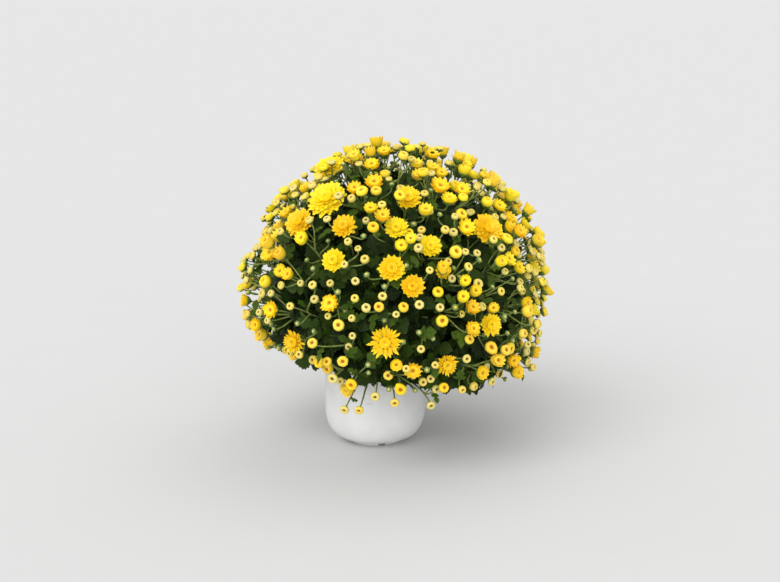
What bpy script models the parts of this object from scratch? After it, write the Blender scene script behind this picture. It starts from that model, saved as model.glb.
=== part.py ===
"""A pot chrysanthemum in full bud: a dome of yellow heads on leafy shoots, in a white bowl pot.

Metres, +Z up. The origin is the centre of the pot's flat foot, and the front faces -Y.
Nine leafy shoots stand in plain holes in the potting mix. Each keeps to its own cone of space
round the middle of the dome, so that no shoot crosses another. The heads that face the front stand
where they do on the real plant, and the others are placed by a seeded rule.
"""

import math
import random
from dataclasses import dataclass

import bmesh
import bpy
from mathutils import Matrix, Vector
from mathutils.bvhtree import BVHTree

MM = 0.001
UP = Vector((0.0, 0.0, 1.0))
SIDEWAYS = Vector((1.0, 0.0, 0.0))
TOUCH = 0.3 * MM
SEED = 11

# The pot: a bowl with upright sides on a low foot
POT_HEIGHT = 132 * MM
POT_RIM_RADIUS = 84 * MM
POT_WALL_RADIUS = 81.5 * MM
POT_BELLY_RADIUS = 81 * MM
POT_BELLY_HEIGHT = 52 * MM
POT_FOOT_RADIUS = 44 * MM
POT_FOOT_HEIGHT = 7 * MM
POT_WALL = 2.0 * MM
POT_FLOOR = 2.6 * MM
RIM_DEPTH = 9 * MM
RIM_ROUND = 1 * MM
BOWL_OVERHANG = 8.5 * MM
BOWL_START = 0.12
BOWL_STEPS = 4
INNER_STEPS = 3
POT_SIDES = 24
DRAIN_COUNT = 5
DRAIN_TURN = 0.2
DRAIN_SIZE = (14 * MM, 11 * MM, 6.4 * MM)

# The potting mix
SOIL_TOP = 118 * MM
SOIL_CROWN = 3 * MM
HOLE_DEPTH = 34 * MM
STEM_UPRIGHT = 6 * MM

# The dome of heads, round the point that they spread from
DOME_CENTRE = Vector((29 * MM, 0.0, 233 * MM))
DOME_RADIUS = 251 * MM
LOWEST_LATITUDE = math.radians(-27)
FRONT_RISE = math.radians(12)
LIFT = 0.16

# The shoots: three reach the top of the dome and six its sides
UPPER_SHOOTS = 3
UPPER_LATITUDE = math.radians(55)
UPPER_TURN = math.radians(60)
UPPER_STEM_SPREAD = 20 * MM
SIDE_SHOOTS = 6
SIDE_LATITUDE = math.radians(3)
SIDE_STEM_SPREAD = 50 * MM
STEM_FOOT_RADIUS = 3.4 * MM
STEM_TOP_RADIUS = 2.4 * MM
STEM_SIDES = 5
STEM_STEPS = 6
BRANCH_RADIUS = 1.7 * MM
BRANCHES = 3
BRANCH_LEAVES_STEM_AT = 0.70
BRANCH_SPREAD = 0.55
BRANCH_SAG = 8 * MM
STEM_BEND = 0.45

# The canopy of each shoot: the packed leaves that its own leaves and heads stand out of
CANOPY_RADIUS = 188 * MM
CANOPY_DEPTH = 15 * MM
CANOPY_LOWEST = 139 * MM
CANOPY_WALL_GAP = 1.5 * MM
CANOPY_TIPS = 7
CANOPY_NOTCH = 0.92
CANOPY_FOLD = 0.024
CANOPY_RIM = 0.975
INNER_RIM = 0.92
SINK = 10 * MM
ROOT_PULL = 0.2
ROOT_ROOM = 19 * MM

# Leaves: lobed, with the outline as shares of the length
LEAVES_PER_SHOOT = 9
LEAF_SPREAD = 0.93
LEAF_LENGTH = 58 * MM
STALK_LEAF_LENGTH = 38 * MM
STALK_LEAF_AT = 0.52
LEAF_RIB = 2.2 * MM
LEAF_ARCH = 0.16
LEAF_MIDDLE = 0.46
LEAF_SWAY = 1.2
LEAF_ATTEMPTS = 24
BLOOM_ROOM = (2.0 * MM, 2.5 * MM)
LEAF_OUTLINE = ((0.36, 0.37), (0.51, 0.15), (0.76, 0.25))
GOLDEN_TURN = math.pi * (3 - math.sqrt(5))

# Heads: reach is the distance of a head's base from the dome's centre
BLOOM_REACH = 236 * MM
BUD_REACH = (226 * MM, 246 * MM)
BUD_WIDTHS = (10 * MM, 16 * MM)
BUD_COUNT = 84
BUD_CHOICES = 14
BUD_NECK = 0.10
BUD_RIM = 0.28
BUD_TOP = 0.42
HEAD_ROOM = 3 * MM
WALL_ROOM = 1.5 * MM
STALK_RADIUS = 1.6 * MM
CALYX_RADIUS = 4.6 * MM
CALYX_DEPTH = 6 * MM

# The blooms that face the front: across and up from the middle of the dome, and their width, in mm
FRONT_BLOOMS = (
    (-105, 214, 50), (-105, 151, 58), (-137, 113, 44), (-70, 102, 36), (-101, 70, 34),
    (-192, 72, 30), (-34, 179, 28), (-70, 168, 25), (-62, 222, 28), (-8, 238, 24),
    (-34, 211, 26), (37, 240, 26), (60, 234, 24), (22, 155, 38), (73, 174, 30),
    (107, 170, 27), (118, 219, 28), (6, 114, 33), (61, 91, 33), (112, 109, 28),
    (149, 100, 48), (170, 146, 24), (189, 168, 26), (-1, 45, 38), (-190, -18, 26),
    (-155, -67, 36), (-96, -6, 26), (-218, -42, 24), (-11, -69, 48), (27, 20, 33),
    (150, -40, 33), (24, -106, 27), (82, -101, 34), (189, -98, 25),
)  # fmt: skip
FRONT_CUPS = (
    (-35, 137, 19), (-141, 85, 22), (-168, 134, 21), (-200, 148, 20), (-139, 175, 21),
    (62, 205, 21), (10, 86, 20), (205, 146, 20), (222, 118, 21), (185, 128, 21),
    (-234, 24, 20), (-240, -4, 20), (-161, 37, 19), (136, -114, 21), (8, -98, 19),
    (178, 61, 20), (195, 48, 20), (208, -8, 22), (-64, -131, 18), (11, -138, 18), (-93, -122, 16),
    (-76, -173, 14), (-53, -173, 14), (-28, -150, 14), (2, -160, 14), (58, -165, 14),
)  # fmt: skip
# The blooms of the sides and back: their widths in mm, and how far they keep from others
REAR_BLOOM_WIDTHS = (50, 34, 28, 44, 26, 36, 30, 48, 26, 33, 28, 40, 25, 34)
REAR_EDGE = 0.12
REAR_ROOM = 44 * MM
FRONT_ROOM = 12 * MM
REAR_TRIES = 400

# The shape of a bloom, in shares of its width where no unit is given
HUB = 0.17
LAYER_DEPTH = 2.2 * MM
LAYER_TAPER = (0.35, 0.5)
STEEPEST = math.radians(72)
PETAL_WAIST = 0.58
PETAL_FILL = 0.80
PETAL_KEEL = 1.4 * MM
INNER_PETAL = 0.34
INNER_PETAL_STEP = 0.07
CUP_PETALS = 6
CUP_RIM = 0.34
CUP_FLOOR = 0.30
CUP_TIP = 0.78
CUP_CLOSE = 0.84
CUP_WALL = 1.2 * MM


@dataclass(frozen=True)
class OpenKind:
    """A kind of open bloom: its least width, petals to a layer, inner layers, and its outer petals' rise."""

    width: float
    petals: int
    layers: int
    rise: float


OPEN_KINDS = (
    OpenKind(43 * MM, 9, 3, math.radians(12)),
    OpenKind(30.5 * MM, 7, 2, math.radians(28)),
)


@dataclass
class Head:
    """A bloom, cup or bud: its direction from the dome's centre, how far out it sits, and its width."""

    aim: Vector
    reach: float
    width: float

    @property
    def base(self):
        """The middle of the head's underside."""
        return DOME_CENTRE + self.aim * self.reach

    @property
    def facing(self):
        """The way it looks: outwards, turned a little up to the light."""
        return (self.aim + UP * LIFT).normalized()


def aim_of(azimuth, latitude):
    """Unit vector for a heading round the dome, 0 at the front and turning to the right, and a height."""
    level = math.cos(latitude)
    return Vector((level * math.sin(azimuth), -level * math.cos(azimuth), math.sin(latitude)))


def shoot_aims():
    """The middle direction of each shoot's cone."""
    upper = [aim_of(UPPER_TURN + k * math.tau / UPPER_SHOOTS, UPPER_LATITUDE) for k in range(UPPER_SHOOTS)]
    side = [aim_of(k * math.tau / SIDE_SHOOTS, SIDE_LATITUDE) for k in range(SIDE_SHOOTS)]
    return upper + side


SHOOT_AIMS = shoot_aims()


def shoot_of(aim):
    """Index of the shoot whose cone holds a direction."""
    return max(range(len(SHOOT_AIMS)), key=lambda k: aim.dot(SHOOT_AIMS[k]))


def wall_distance(point, shoot):
    """How far inside its shoot's cone a point is."""
    out = point - DOME_CENTRE
    mine = SHOOT_AIMS[shoot]
    others = (a for k, a in enumerate(SHOOT_AIMS) if k != shoot)
    return min(out.dot((mine - other).normalized()) for other in others)


def keep_inside(aim, reach, room):
    """The direction, turned to its shoot's middle until it stands clear of the cone's walls."""
    shoot = shoot_of(aim)
    while wall_distance(DOME_CENTRE + aim * reach, shoot) < room:
        aim = (aim + (SHOOT_AIMS[shoot] - aim) * 0.02).normalized()
    return aim


def facing_front(rows):
    """Heads from a table of places across and up the front of the dome, in mm."""
    up = Vector((0.0, math.sin(FRONT_RISE), math.cos(FRONT_RISE)))
    near = Vector((0.0, -math.cos(FRONT_RISE), math.sin(FRONT_RISE)))
    heads = []
    for across, high, width in rows:
        flat = (SIDEWAYS * across + up * high) * MM
        flat *= min(1.0, 0.995 * DOME_RADIUS / flat.length)
        depth = math.sqrt(DOME_RADIUS**2 - flat.length_squared)
        heads.append(Head((flat + near * depth).normalized(), BLOOM_REACH, width * MM))
    return heads


def random_aim(draw):
    """An even random direction over the dome."""
    low = math.sin(LOWEST_LATITUDE)
    return aim_of(draw.uniform(0, math.tau), math.asin(draw.uniform(low, 1.0)))


def has_room(aim, width, heads, room):
    """Whether a head of this width would stand clear of the others."""
    return all((aim - h.aim).length * BLOOM_REACH > (width + h.width) / 2 + room for h in heads)


def rear_blooms(heads, draw):
    """Blooms for the sides and back, which the front doesn't show, spread by lot."""
    placed = []
    for width in (width * MM for width in REAR_BLOOM_WIDTHS):
        for _ in range(REAR_TRIES):
            aim = random_aim(draw)
            apart = has_room(aim, width, placed, REAR_ROOM) and has_room(aim, width, heads, FRONT_ROOM)
            if aim.y > REAR_EDGE and apart:
                placed.append(Head(aim, BLOOM_REACH, width))
                break
    return placed


def spread_apart(heads):
    """Turns heads that touch away from each other, and keeps each off the walls of its cone."""
    for _ in range(60):
        for i, a in enumerate(heads):
            for b in heads[i + 1 :]:
                gap = (a.aim - b.aim).length * BLOOM_REACH
                need = (a.width + b.width) / 2 + HEAD_ROOM
                if gap < need:
                    push = (a.aim - b.aim).normalized() * (need - gap) / BLOOM_REACH * 0.3
                    a.aim = (a.aim + push).normalized()
                    b.aim = (b.aim - push).normalized()
        for head in heads:
            head.aim = keep_inside(head.aim, head.reach, WALL_ROOM + head.width / 2)


def clearance(aim, heads):
    """How far a direction stands from the rim of the nearest head."""
    return min((aim - head.aim).length * BLOOM_REACH - head.width / 2 for head in heads)


def scattered_buds(heads, draw):
    """Buds for the whole dome, each the roomiest of several random places, so that they spread evenly."""
    buds = []
    for _ in range(BUD_COUNT):
        width, reach = draw.uniform(*BUD_WIDTHS), draw.uniform(*BUD_REACH)
        places = [keep_inside(random_aim(draw), reach, WALL_ROOM + width / 2) for _ in range(BUD_CHOICES)]
        aim = max(places, key=lambda place: clearance(place, heads + buds))
        buds.append(Head(aim, reach, width))
    return buds


def material(name, colour, roughness):
    """A plain finish."""
    made = bpy.data.materials.new(name)
    made.use_nodes = True
    shader = made.node_tree.nodes["Principled BSDF"]
    shader.inputs["Base Color"].default_value = (*colour, 1.0)
    shader.inputs["Roughness"].default_value = roughness
    shader.inputs["Metallic"].default_value = 0.0
    return made


def new_object(name, points, faces, finishes, finish_of=None):
    """An object from points and faces, with its finishes, and finish_of telling which each face takes."""
    mesh = bpy.data.meshes.new(name)
    mesh.from_pydata([tuple(p) for p in points], [], faces)
    for finish in finishes:
        mesh.materials.append(finish)
    if finish_of is not None:
        mesh.polygons.foreach_set("material_index", finish_of)
    made = bpy.data.objects.new(name, mesh)
    bpy.context.scene.collection.objects.link(made)
    return made


def lathe(name, profile, finishes, sides=POT_SIDES):
    """A turned solid. The profile runs from the axis below, up the outside and back to the axis above."""
    points = [Vector((0.0, 0.0, profile[0][1]))]
    for radius, height in profile[1:-1]:
        points += [
            Vector((radius * math.cos(a), radius * math.sin(a), height))
            for a in (math.tau * (k + 0.5) / sides for k in range(sides))
        ]
    points.append(Vector((0.0, 0.0, profile[-1][1])))
    rings = len(profile) - 2
    last = 1 + (rings - 1) * sides
    faces = [(0, 1 + (k + 1) % sides, 1 + k) for k in range(sides)]
    for r in range(rings - 1):
        a, b = 1 + r * sides, 1 + (r + 1) * sides
        faces += [(a + k, a + (k + 1) % sides, b + (k + 1) % sides, b + k) for k in range(sides)]
    faces += [(last + k, last + (k + 1) % sides, len(points) - 1) for k in range(sides)]
    made = new_object(name, points, faces, finishes)
    made.data.shade_smooth()
    made.data.set_sharp_from_angle(angle=math.radians(35))
    return made


def bowl_profile(inset, steps):
    """Points of the bowl's curve from the foot to the belly, moved in by the wall."""
    low, high = POT_FOOT_RADIUS + BOWL_OVERHANG, POT_BELLY_RADIUS
    rise = POT_BELLY_HEIGHT - POT_FOOT_HEIGHT
    points = []
    for k in range(steps + 1):
        turn = math.pi / 2 * (BOWL_START + (1 - BOWL_START) * k / steps)
        radius = low + (high - low - inset) * math.sin(turn)
        points.append((radius, POT_BELLY_HEIGHT - (rise - inset) * math.cos(turn)))
    return points


def cut(body, cutter):
    """Subtracts a helper shape from a body and removes the helper."""
    modifier = body.modifiers.new("cut", "BOOLEAN")
    modifier.operation = "DIFFERENCE"
    modifier.object = cutter
    keep_result(body)
    bpy.data.objects.remove(cutter)


def keep_result(body):
    """Makes what a body's modifiers give its own mesh."""
    bpy.context.view_layer.update()
    graph = bpy.context.evaluated_depsgraph_get()
    mesh = bpy.data.meshes.new_from_object(body.evaluated_get(graph))
    body.modifiers.clear()
    body.data = mesh


def make_pot(finish):
    """The pot: foot, bowl, upright wall and thick rim, with drain slots in the corner of the foot."""
    under_rim = POT_HEIGHT - RIM_DEPTH
    outside = [(0.0, 0.0), (POT_FOOT_RADIUS, 0.0), (POT_FOOT_RADIUS, POT_FOOT_HEIGHT - RIM_ROUND)]
    outside += bowl_profile(0.0, BOWL_STEPS)
    outside += [
        (POT_WALL_RADIUS, under_rim),
        (POT_RIM_RADIUS, under_rim + RIM_ROUND),
        (POT_RIM_RADIUS, POT_HEIGHT - RIM_ROUND),
        (POT_RIM_RADIUS - RIM_ROUND, POT_HEIGHT),
    ]
    inside = inner_profile(0.0, POT_HEIGHT)
    pot = lathe("pot", outside + inside[::-1], [finish])
    for k in range(DRAIN_COUNT):
        turn = math.tau * (k + DRAIN_TURN) / DRAIN_COUNT - math.pi / 2
        bpy.ops.mesh.primitive_cube_add(size=1)
        cutter = bpy.context.object
        cutter.data.transform(Matrix.Diagonal((*DRAIN_SIZE, 1.0)))
        cutter.location = Vector((math.cos(turn), math.sin(turn), 0.0)) * POT_FOOT_RADIUS
        cutter.rotation_euler.z = turn
        cut(pot, cutter)
    return pot


def inner_profile(gap, top):
    """The pot's inside from the middle of its floor up to a height, moved in by a gap."""
    well = POT_FOOT_RADIUS - POT_WALL - gap
    points = [(0.0, POT_FLOOR + gap), (well, POT_FLOOR + gap), (well, POT_FOOT_HEIGHT + POT_WALL / 2 + gap)]
    points += bowl_profile(POT_WALL + gap, INNER_STEPS)
    low_radius, low = points[-1]
    high_radius = POT_WALL_RADIUS - POT_WALL - gap
    share = (top - low) / (POT_HEIGHT - low)
    points.append((low_radius + (high_radius - low_radius) * share, top))
    return points


def stem_foot(shoot):
    """Where a shoot's stem comes out of the mix."""
    aim = SHOOT_AIMS[shoot]
    spread = UPPER_STEM_SPREAD if shoot < UPPER_SHOOTS else SIDE_STEM_SPREAD
    out = Vector((aim.x, aim.y, 0.0)).normalized() * spread
    return Vector((out.x, out.y, SOIL_TOP))


def make_soil(finish):
    """The potting mix: it fills the pot to under the rim, with a plain hole for each stem."""
    profile = inner_profile(TOUCH, SOIL_TOP)
    profile.append((0.0, SOIL_TOP + SOIL_CROWN))
    soil = lathe("potting_mix", profile, [finish])
    room = TOUCH / math.cos(math.pi / STEM_SIDES)
    for shoot in range(len(SHOOT_AIMS)):
        foot = stem_foot(shoot)
        ends = [foot - UP * (HOLE_DEPTH + TOUCH), foot + UP * 3 * SOIL_CROWN]
        hole = tube("hole", ends, [STEM_FOOT_RADIUS + room] * 2, STEM_SIDES, [finish])
        cut(soil, hole)
    return soil


def ring(centre, axis, radius, sides, near):
    """Points of a ring round a centre, square to an axis, and where it starts, as near as can be to near."""
    side = (near - axis * near.dot(axis)).normalized()
    other = axis.cross(side)
    angles = (math.tau * k / sides for k in range(sides))
    return [centre + (side * math.cos(a) + other * math.sin(a)) * radius for a in angles], side


def tube(name, path, radii, sides, finishes):
    """A closed round bar along a path."""
    points, near = [], SIDEWAYS
    for k, centre in enumerate(path):
        before, after = path[max(k - 1, 0)], path[min(k + 1, len(path) - 1)]
        loop, near = ring(centre, (after - before).normalized(), radii[k], sides, near)
        points += loop
    faces = [tuple(reversed(range(sides)))]
    for r in range(len(path) - 1):
        a, b = r * sides, (r + 1) * sides
        faces += [(a + k, a + (k + 1) % sides, b + (k + 1) % sides, b + k) for k in range(sides)]
    faces.append(tuple(range((len(path) - 1) * sides, len(path) * sides)))
    return new_object(name, points, faces, finishes)


def rim_distance(aim, shoot):
    """How far inside the rim of a shoot's canopy a direction passes."""
    point = DOME_CENTRE + aim * CANOPY_RADIUS
    return min(wall_distance(point, shoot) - CANOPY_WALL_GAP, point.z - CANOPY_LOWEST)


def root_of(head):
    """Where a head's stalk starts, inside the canopy: nearer the shoot's middle than the head."""
    shoot = shoot_of(head.aim)
    aim = head.aim.lerp(SHOOT_AIMS[shoot], ROOT_PULL).normalized()
    while rim_distance(aim, shoot) < ROOT_ROOM:
        aim = aim.lerp(SHOOT_AIMS[shoot], 0.04).normalized()
    return DOME_CENTRE + aim * (CANOPY_RADIUS - SINK)


def stalk_points(head, depth, top, radius):
    """A stalk's rings: three points at its root and its neck, and six where it opens out under its head."""
    foot = root_of(head)
    neck = head.base - head.facing * depth
    root, near = ring(foot, (neck - foot).normalized(), STALK_RADIUS, 3, SIDEWAYS)
    throat, near = ring(neck, head.facing, STALK_RADIUS, 3, near)
    opening, near = ring(head.base + head.facing * top, head.facing, radius, 6, near)
    return root + throat + opening


def stalk_faces():
    """Faces of the root, the sides and the opening of a stalk."""
    faces = [(2, 1, 0)]
    faces += [(k, (k + 1) % 3, 3 + (k + 1) % 3, 3 + k) for k in range(3)]
    return faces + [tuple(reversed(face)) for face in opening_out(3, 6, 3)]


def bud_on_stalk(head, finishes):
    """A closed bud on its stalk: six-sided, green underneath, with a low yellow top."""
    points = stalk_points(head, BUD_NECK * head.width, BUD_RIM * head.width, head.width / 2)
    points.append(head.base + head.facing * BUD_TOP * head.width)
    green_faces = stalk_faces()
    yellow_faces = [(6 + k, 6 + (k + 1) % 6, 12) for k in range(6)]
    finish_of = [0] * len(green_faces) + [1] * len(yellow_faces)
    return new_object("bud", points, green_faces + yellow_faces, finishes, finish_of)


def calyx_on_stalk(head, finishes):
    """A bloom's stalk, which opens into the flat green cup that the bloom sits on."""
    points = stalk_points(head, CALYX_DEPTH, -TOUCH, CALYX_RADIUS)
    return new_object("calyx", points, stalk_faces() + [tuple(range(6, 12))], finishes)


def polar(axis, angle, turn):
    """A direction at an angle from an axis, turned round it."""
    side = axis.cross(UP).normalized()
    other = axis.cross(side)
    return axis * math.cos(angle) + (side * math.cos(turn) + other * math.sin(turn)) * math.sin(angle)


def canopy_reach(shoot, turn):
    """How far the canopy reaches from the shoot's middle to its cone's wall, as an angle."""
    angle, step = 0.0, math.radians(1)
    while rim_distance(polar(SHOOT_AIMS[shoot], angle + step, turn), shoot) > 0:
        angle += step
    return angle


def make_canopy(shoot, finishes):
    """The packed leaves of a shoot: a folded pad over its share of the dome, its rim cut in leaf tips."""
    axis = SHOOT_AIMS[shoot]
    count = 2 * CANOPY_TIPS
    turns = [math.tau * k / count for k in range(count)]
    reaches = [canopy_reach(shoot, turn) for turn in turns]

    def loop(share, radius, fold=0.0, notch=1.0, step=1):
        points = []
        for k in range(0, count, step):
            tip = k // step % 2 == 0
            reach = reaches[k] * share * (1.0 if tip else notch)
            out = radius * (1 + (fold if tip else -fold))
            points.append(DOME_CENTRE + polar(axis, reach, turns[k]) * out)
        return points

    inner = CANOPY_RADIUS - CANOPY_DEPTH
    points = [DOME_CENTRE + axis * CANOPY_RADIUS * (1 + CANOPY_FOLD)]
    points += loop(0.36, CANOPY_RADIUS, fold=CANOPY_FOLD, step=2)
    points += loop(0.70, CANOPY_RADIUS, fold=-CANOPY_FOLD)
    points += loop(1.0, CANOPY_RADIUS * CANOPY_RIM, notch=CANOPY_NOTCH)
    points += loop(INNER_RIM, inner, notch=CANOPY_NOTCH)
    points += loop(0.5, inner, step=2)
    points.append(DOME_CENTRE + axis * inner)
    faces = fan(0, 1, CANOPY_TIPS)
    first = 1 + CANOPY_TIPS
    faces += opening_out(1, first, CANOPY_TIPS)
    for a in (first, first + count):
        b = a + count
        faces += [(a + k, b + k, b + (k + 1) % count, a + (k + 1) % count) for k in range(count)]
    under = first + 2 * count
    last = under + count
    faces += [tuple(reversed(f)) for f in opening_out(last, under, CANOPY_TIPS)]
    faces += [tuple(reversed(f)) for f in fan(last + CANOPY_TIPS, last, CANOPY_TIPS)]
    return new_object("canopy", points, faces, finishes)


def fan(middle, first, count):
    """Faces from a middle point to a ring."""
    return [(middle, first + k, first + (k + 1) % count) for k in range(count)]


def opening_out(inner, outer, count):
    """Faces from a ring to one round it that has twice its points."""
    faces = []
    for k in range(count):
        here, after = inner + k, inner + (k + 1) % count
        first, middle, last = outer + 2 * k, outer + 2 * k + 1, outer + (2 * k + 2) % (2 * count)
        faces += [(here, first, middle), (here, middle, after), (after, middle, last)]
    return faces


def bezier(a, b, c, d, steps):
    """Points along a smooth curve from a to d."""
    points = []
    for k in range(steps + 1):
        t = k / steps
        s = 1 - t
        points.append(a * s**3 + b * 3 * s * s * t + c * 3 * s * t * t + d * t**3)
    return points


def stem_path(shoot):
    """A shoot's main stem: upright out of its hole, then in a bend to the middle of its canopy."""
    foot = stem_foot(shoot)
    aim = SHOOT_AIMS[shoot]
    end = DOME_CENTRE + aim * (CANOPY_RADIUS - CANOPY_DEPTH / 2)
    rise = (end - foot).length * STEM_BEND
    above = foot + UP * STEM_UPRIGHT
    path = [foot - UP * HOLE_DEPTH, foot]
    return path + bezier(above, above + UP * rise, end - aim * rise, end, STEM_STEPS)


def make_stems(shoot, finishes):
    """The main stem and the branches that carry the canopy."""
    path = stem_path(shoot)
    taper = (STEM_FOOT_RADIUS - STEM_TOP_RADIUS) / (len(path) - 2)
    radii = [STEM_FOOT_RADIUS] + [STEM_FOOT_RADIUS - taper * k for k in range(len(path) - 1)]
    made = [tube("stem", path, radii, STEM_SIDES, finishes)]
    fork = path[2 + round(BRANCH_LEAVES_STEM_AT * STEM_STEPS)]
    for k in range(BRANCHES):
        turn = math.tau * (k + 0.5) / BRANCHES
        aim = polar(SHOOT_AIMS[shoot], canopy_reach(shoot, turn) * BRANCH_SPREAD, turn)
        tip = DOME_CENTRE + aim * (CANOPY_RADIUS - CANOPY_DEPTH / 2)
        knee = (fork + tip) / 2 - SHOOT_AIMS[shoot] * BRANCH_SAG
        made.append(tube("branch", [fork, knee, tip], [BRANCH_RADIUS] * 3, 3, finishes))
    return made


def leaf_points(root, along, normal, length):
    """A leaf's outline, arched down to its tip, and the top and underside of its rib."""
    across = normal.cross(along).normalized()

    def spot(x, y, lift=0.0):
        return root + along * x * length + across * y * length + normal * (lift - LEAF_ARCH * x * x * length)

    left = [spot(x, y) for x, y in LEAF_OUTLINE]
    right = [spot(x, -y) for x, y in reversed(LEAF_OUTLINE)]
    ribs = [spot(LEAF_MIDDLE, 0.0, LEAF_RIB / 2), spot(LEAF_MIDDLE, 0.0, -LEAF_RIB / 2)]
    return [root] + left + [spot(1.0, 0.0)] + right + ribs


def make_leaf(points, finishes):
    """A leaf blade: it thins from its rib to its edge, and both faces are split alike."""
    count = len(points) - 2
    underside = fan(count + 1, 0, count)
    top = [tuple(reversed(face)) for face in fan(count, 0, count)]
    return new_object("leaf", points, top + underside, finishes)


def clear_of_blooms(points, blooms):
    """Whether a blade keeps under or beside every bloom."""
    beside, below = BLOOM_ROOM
    spots = [a.lerp(b, t) for a, b in zip(points, points[1:]) for t in (0.0, 0.5)]
    for bloom in blooms:
        if (points[0] - bloom.base).length > 2 * LEAF_LENGTH + bloom.width:
            continue
        for out in (spot - bloom.base for spot in spots):
            height = out.dot(bloom.facing)
            off_axis = (out - bloom.facing * height).length
            if height > -below and off_axis < bloom.width / 2 + beside:
                return False
    return True


def surface_of(body):
    """A body's faces, to test against those of others."""
    mesh = body.data
    return BVHTree.FromPolygons([v.co for v in mesh.vertices], [tuple(f.vertices) for f in mesh.polygons])


def random_leaf(shoot, turn, share, length, draw):
    """Points of a leaf that leaves the canopy at a turn and a share of the way to its rim."""
    aim = polar(SHOOT_AIMS[shoot], canopy_reach(shoot, turn) * share, turn)
    level = polar(aim, math.pi / 2, draw.uniform(-LEAF_SWAY, LEAF_SWAY) - math.pi / 2)
    along = (aim * draw.uniform(0.45, 1.0) + level * 0.8 - UP * 0.25).normalized()
    light = aim + UP * 0.4
    normal = (light - along * light.dot(along)).normalized()
    return leaf_points(DOME_CENTRE + aim * (CANOPY_RADIUS - SINK), along, normal, length)


def stalk_leaf(head, length, draw):
    """Points of a leaf that leaves a head's stalk below it."""
    foot = root_of(head)
    neck = head.base - head.facing * CALYX_DEPTH
    stalk = (neck - foot).normalized()
    out = polar(stalk, math.pi / 2, draw.uniform(0, math.tau))
    along = (out + stalk * draw.uniform(0.3, 0.9)).normalized()
    normal = (stalk - along * stalk.dot(along)).normalized()
    return leaf_points(foot.lerp(neck, STALK_LEAF_AT), along, normal, length)


def place_leaf(candidates, shoot, blooms, taken, finishes):
    """Makes the first of the candidates that crosses no wall, bloom, stalk or leaf, or none."""
    for points in candidates:
        if min(wall_distance(p, shoot) for p in points) < WALL_ROOM:
            continue
        leaf = make_leaf(points, finishes)
        if clear_of_blooms(points, blooms) and not any(surface_of(leaf).overlap(t) for t in taken):
            return [leaf]
        bpy.data.objects.remove(leaf)
    return []


def canopy_leaves(shoot, number, draw):
    """Places to try for a leaf on a shoot's canopy, near its own turn of a spiral from middle to rim."""
    length = LEAF_LENGTH * draw.uniform(0.8, 1.05)
    share = LEAF_SPREAD * math.sqrt((number + 0.5) / LEAVES_PER_SHOOT)
    for attempt in range(LEAF_ATTEMPTS):
        turn = number * GOLDEN_TURN + shoot + 0.1 * attempt
        yield random_leaf(shoot, turn, share * draw.uniform(0.8, 1.0), length, draw)


def make_leaves(shoot, stalks, blooms, finishes, draw):
    """Leaves on a shoot's canopy, spread evenly, and one on the stalk of each of its blooms."""
    made = []
    taken = [surface_of(stalk) for stalk in stalks]
    for number in range(LEAVES_PER_SHOOT):
        grown = place_leaf(canopy_leaves(shoot, number, draw), shoot, blooms, taken, finishes)
        taken += [surface_of(leaf) for leaf in grown]
        made += grown
    for number, bloom in enumerate(b for b in blooms if shoot_of(b.aim) == shoot):
        length = STALK_LEAF_LENGTH * draw.uniform(0.8, 1.1)
        candidates = (stalk_leaf(bloom, length, draw) for _ in range(LEAF_ATTEMPTS))
        others = taken[:number] + taken[number + 1 :]
        grown = place_leaf(candidates, shoot, blooms, others, finishes)
        taken += [surface_of(leaf) for leaf in grown]
        made += grown
    return made


def fuse(name, pieces):
    """Joins pieces that run into each other in one body."""
    helpers = bpy.data.collections.new(name + "_pieces")
    bpy.context.scene.collection.children.link(helpers)
    body, rest = pieces[0], pieces[1:]
    for piece in rest:
        bpy.context.scene.collection.objects.unlink(piece)
        helpers.objects.link(piece)
    modifier = body.modifiers.new("fuse", "BOOLEAN")
    modifier.operation = "UNION"
    modifier.operand_type = "COLLECTION"
    modifier.collection = helpers
    keep_result(body)
    for piece in rest:
        bpy.data.objects.remove(piece)
    bpy.data.collections.remove(helpers)
    body.name = name
    return body


def make_shoot(shoot, blooms, heads, finishes, draw):
    """A leafy shoot: canopy, stem, branches, leaves, buds, and the stalks of its blooms, in one body."""
    stalks = [calyx_on_stalk(b, finishes) for b in blooms if shoot_of(b.aim) == shoot]
    stalks += [bud_on_stalk(h, finishes) for h in heads if shoot_of(h.aim) == shoot]
    leaves = make_leaves(shoot, stalks, blooms, finishes, draw)
    pieces = [make_canopy(shoot, finishes)] + make_stems(shoot, finishes) + stalks + leaves
    return fuse(f"leafy_shoot_{shoot + 1}", pieces)


def level_ring(count, radius, height, turn=0.0):
    """Points of a level ring round a bloom's axis."""
    angles = (math.tau * (k + turn) / count for k in range(count))
    return [Vector((radius * math.cos(a), radius * math.sin(a), height)) for a in angles]


def sloping(turn, rise):
    """A direction that rises outwards from a bloom's axis."""
    return Vector((math.cos(turn) * math.cos(rise), math.sin(turn) * math.cos(rise), math.sin(rise)))


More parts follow.
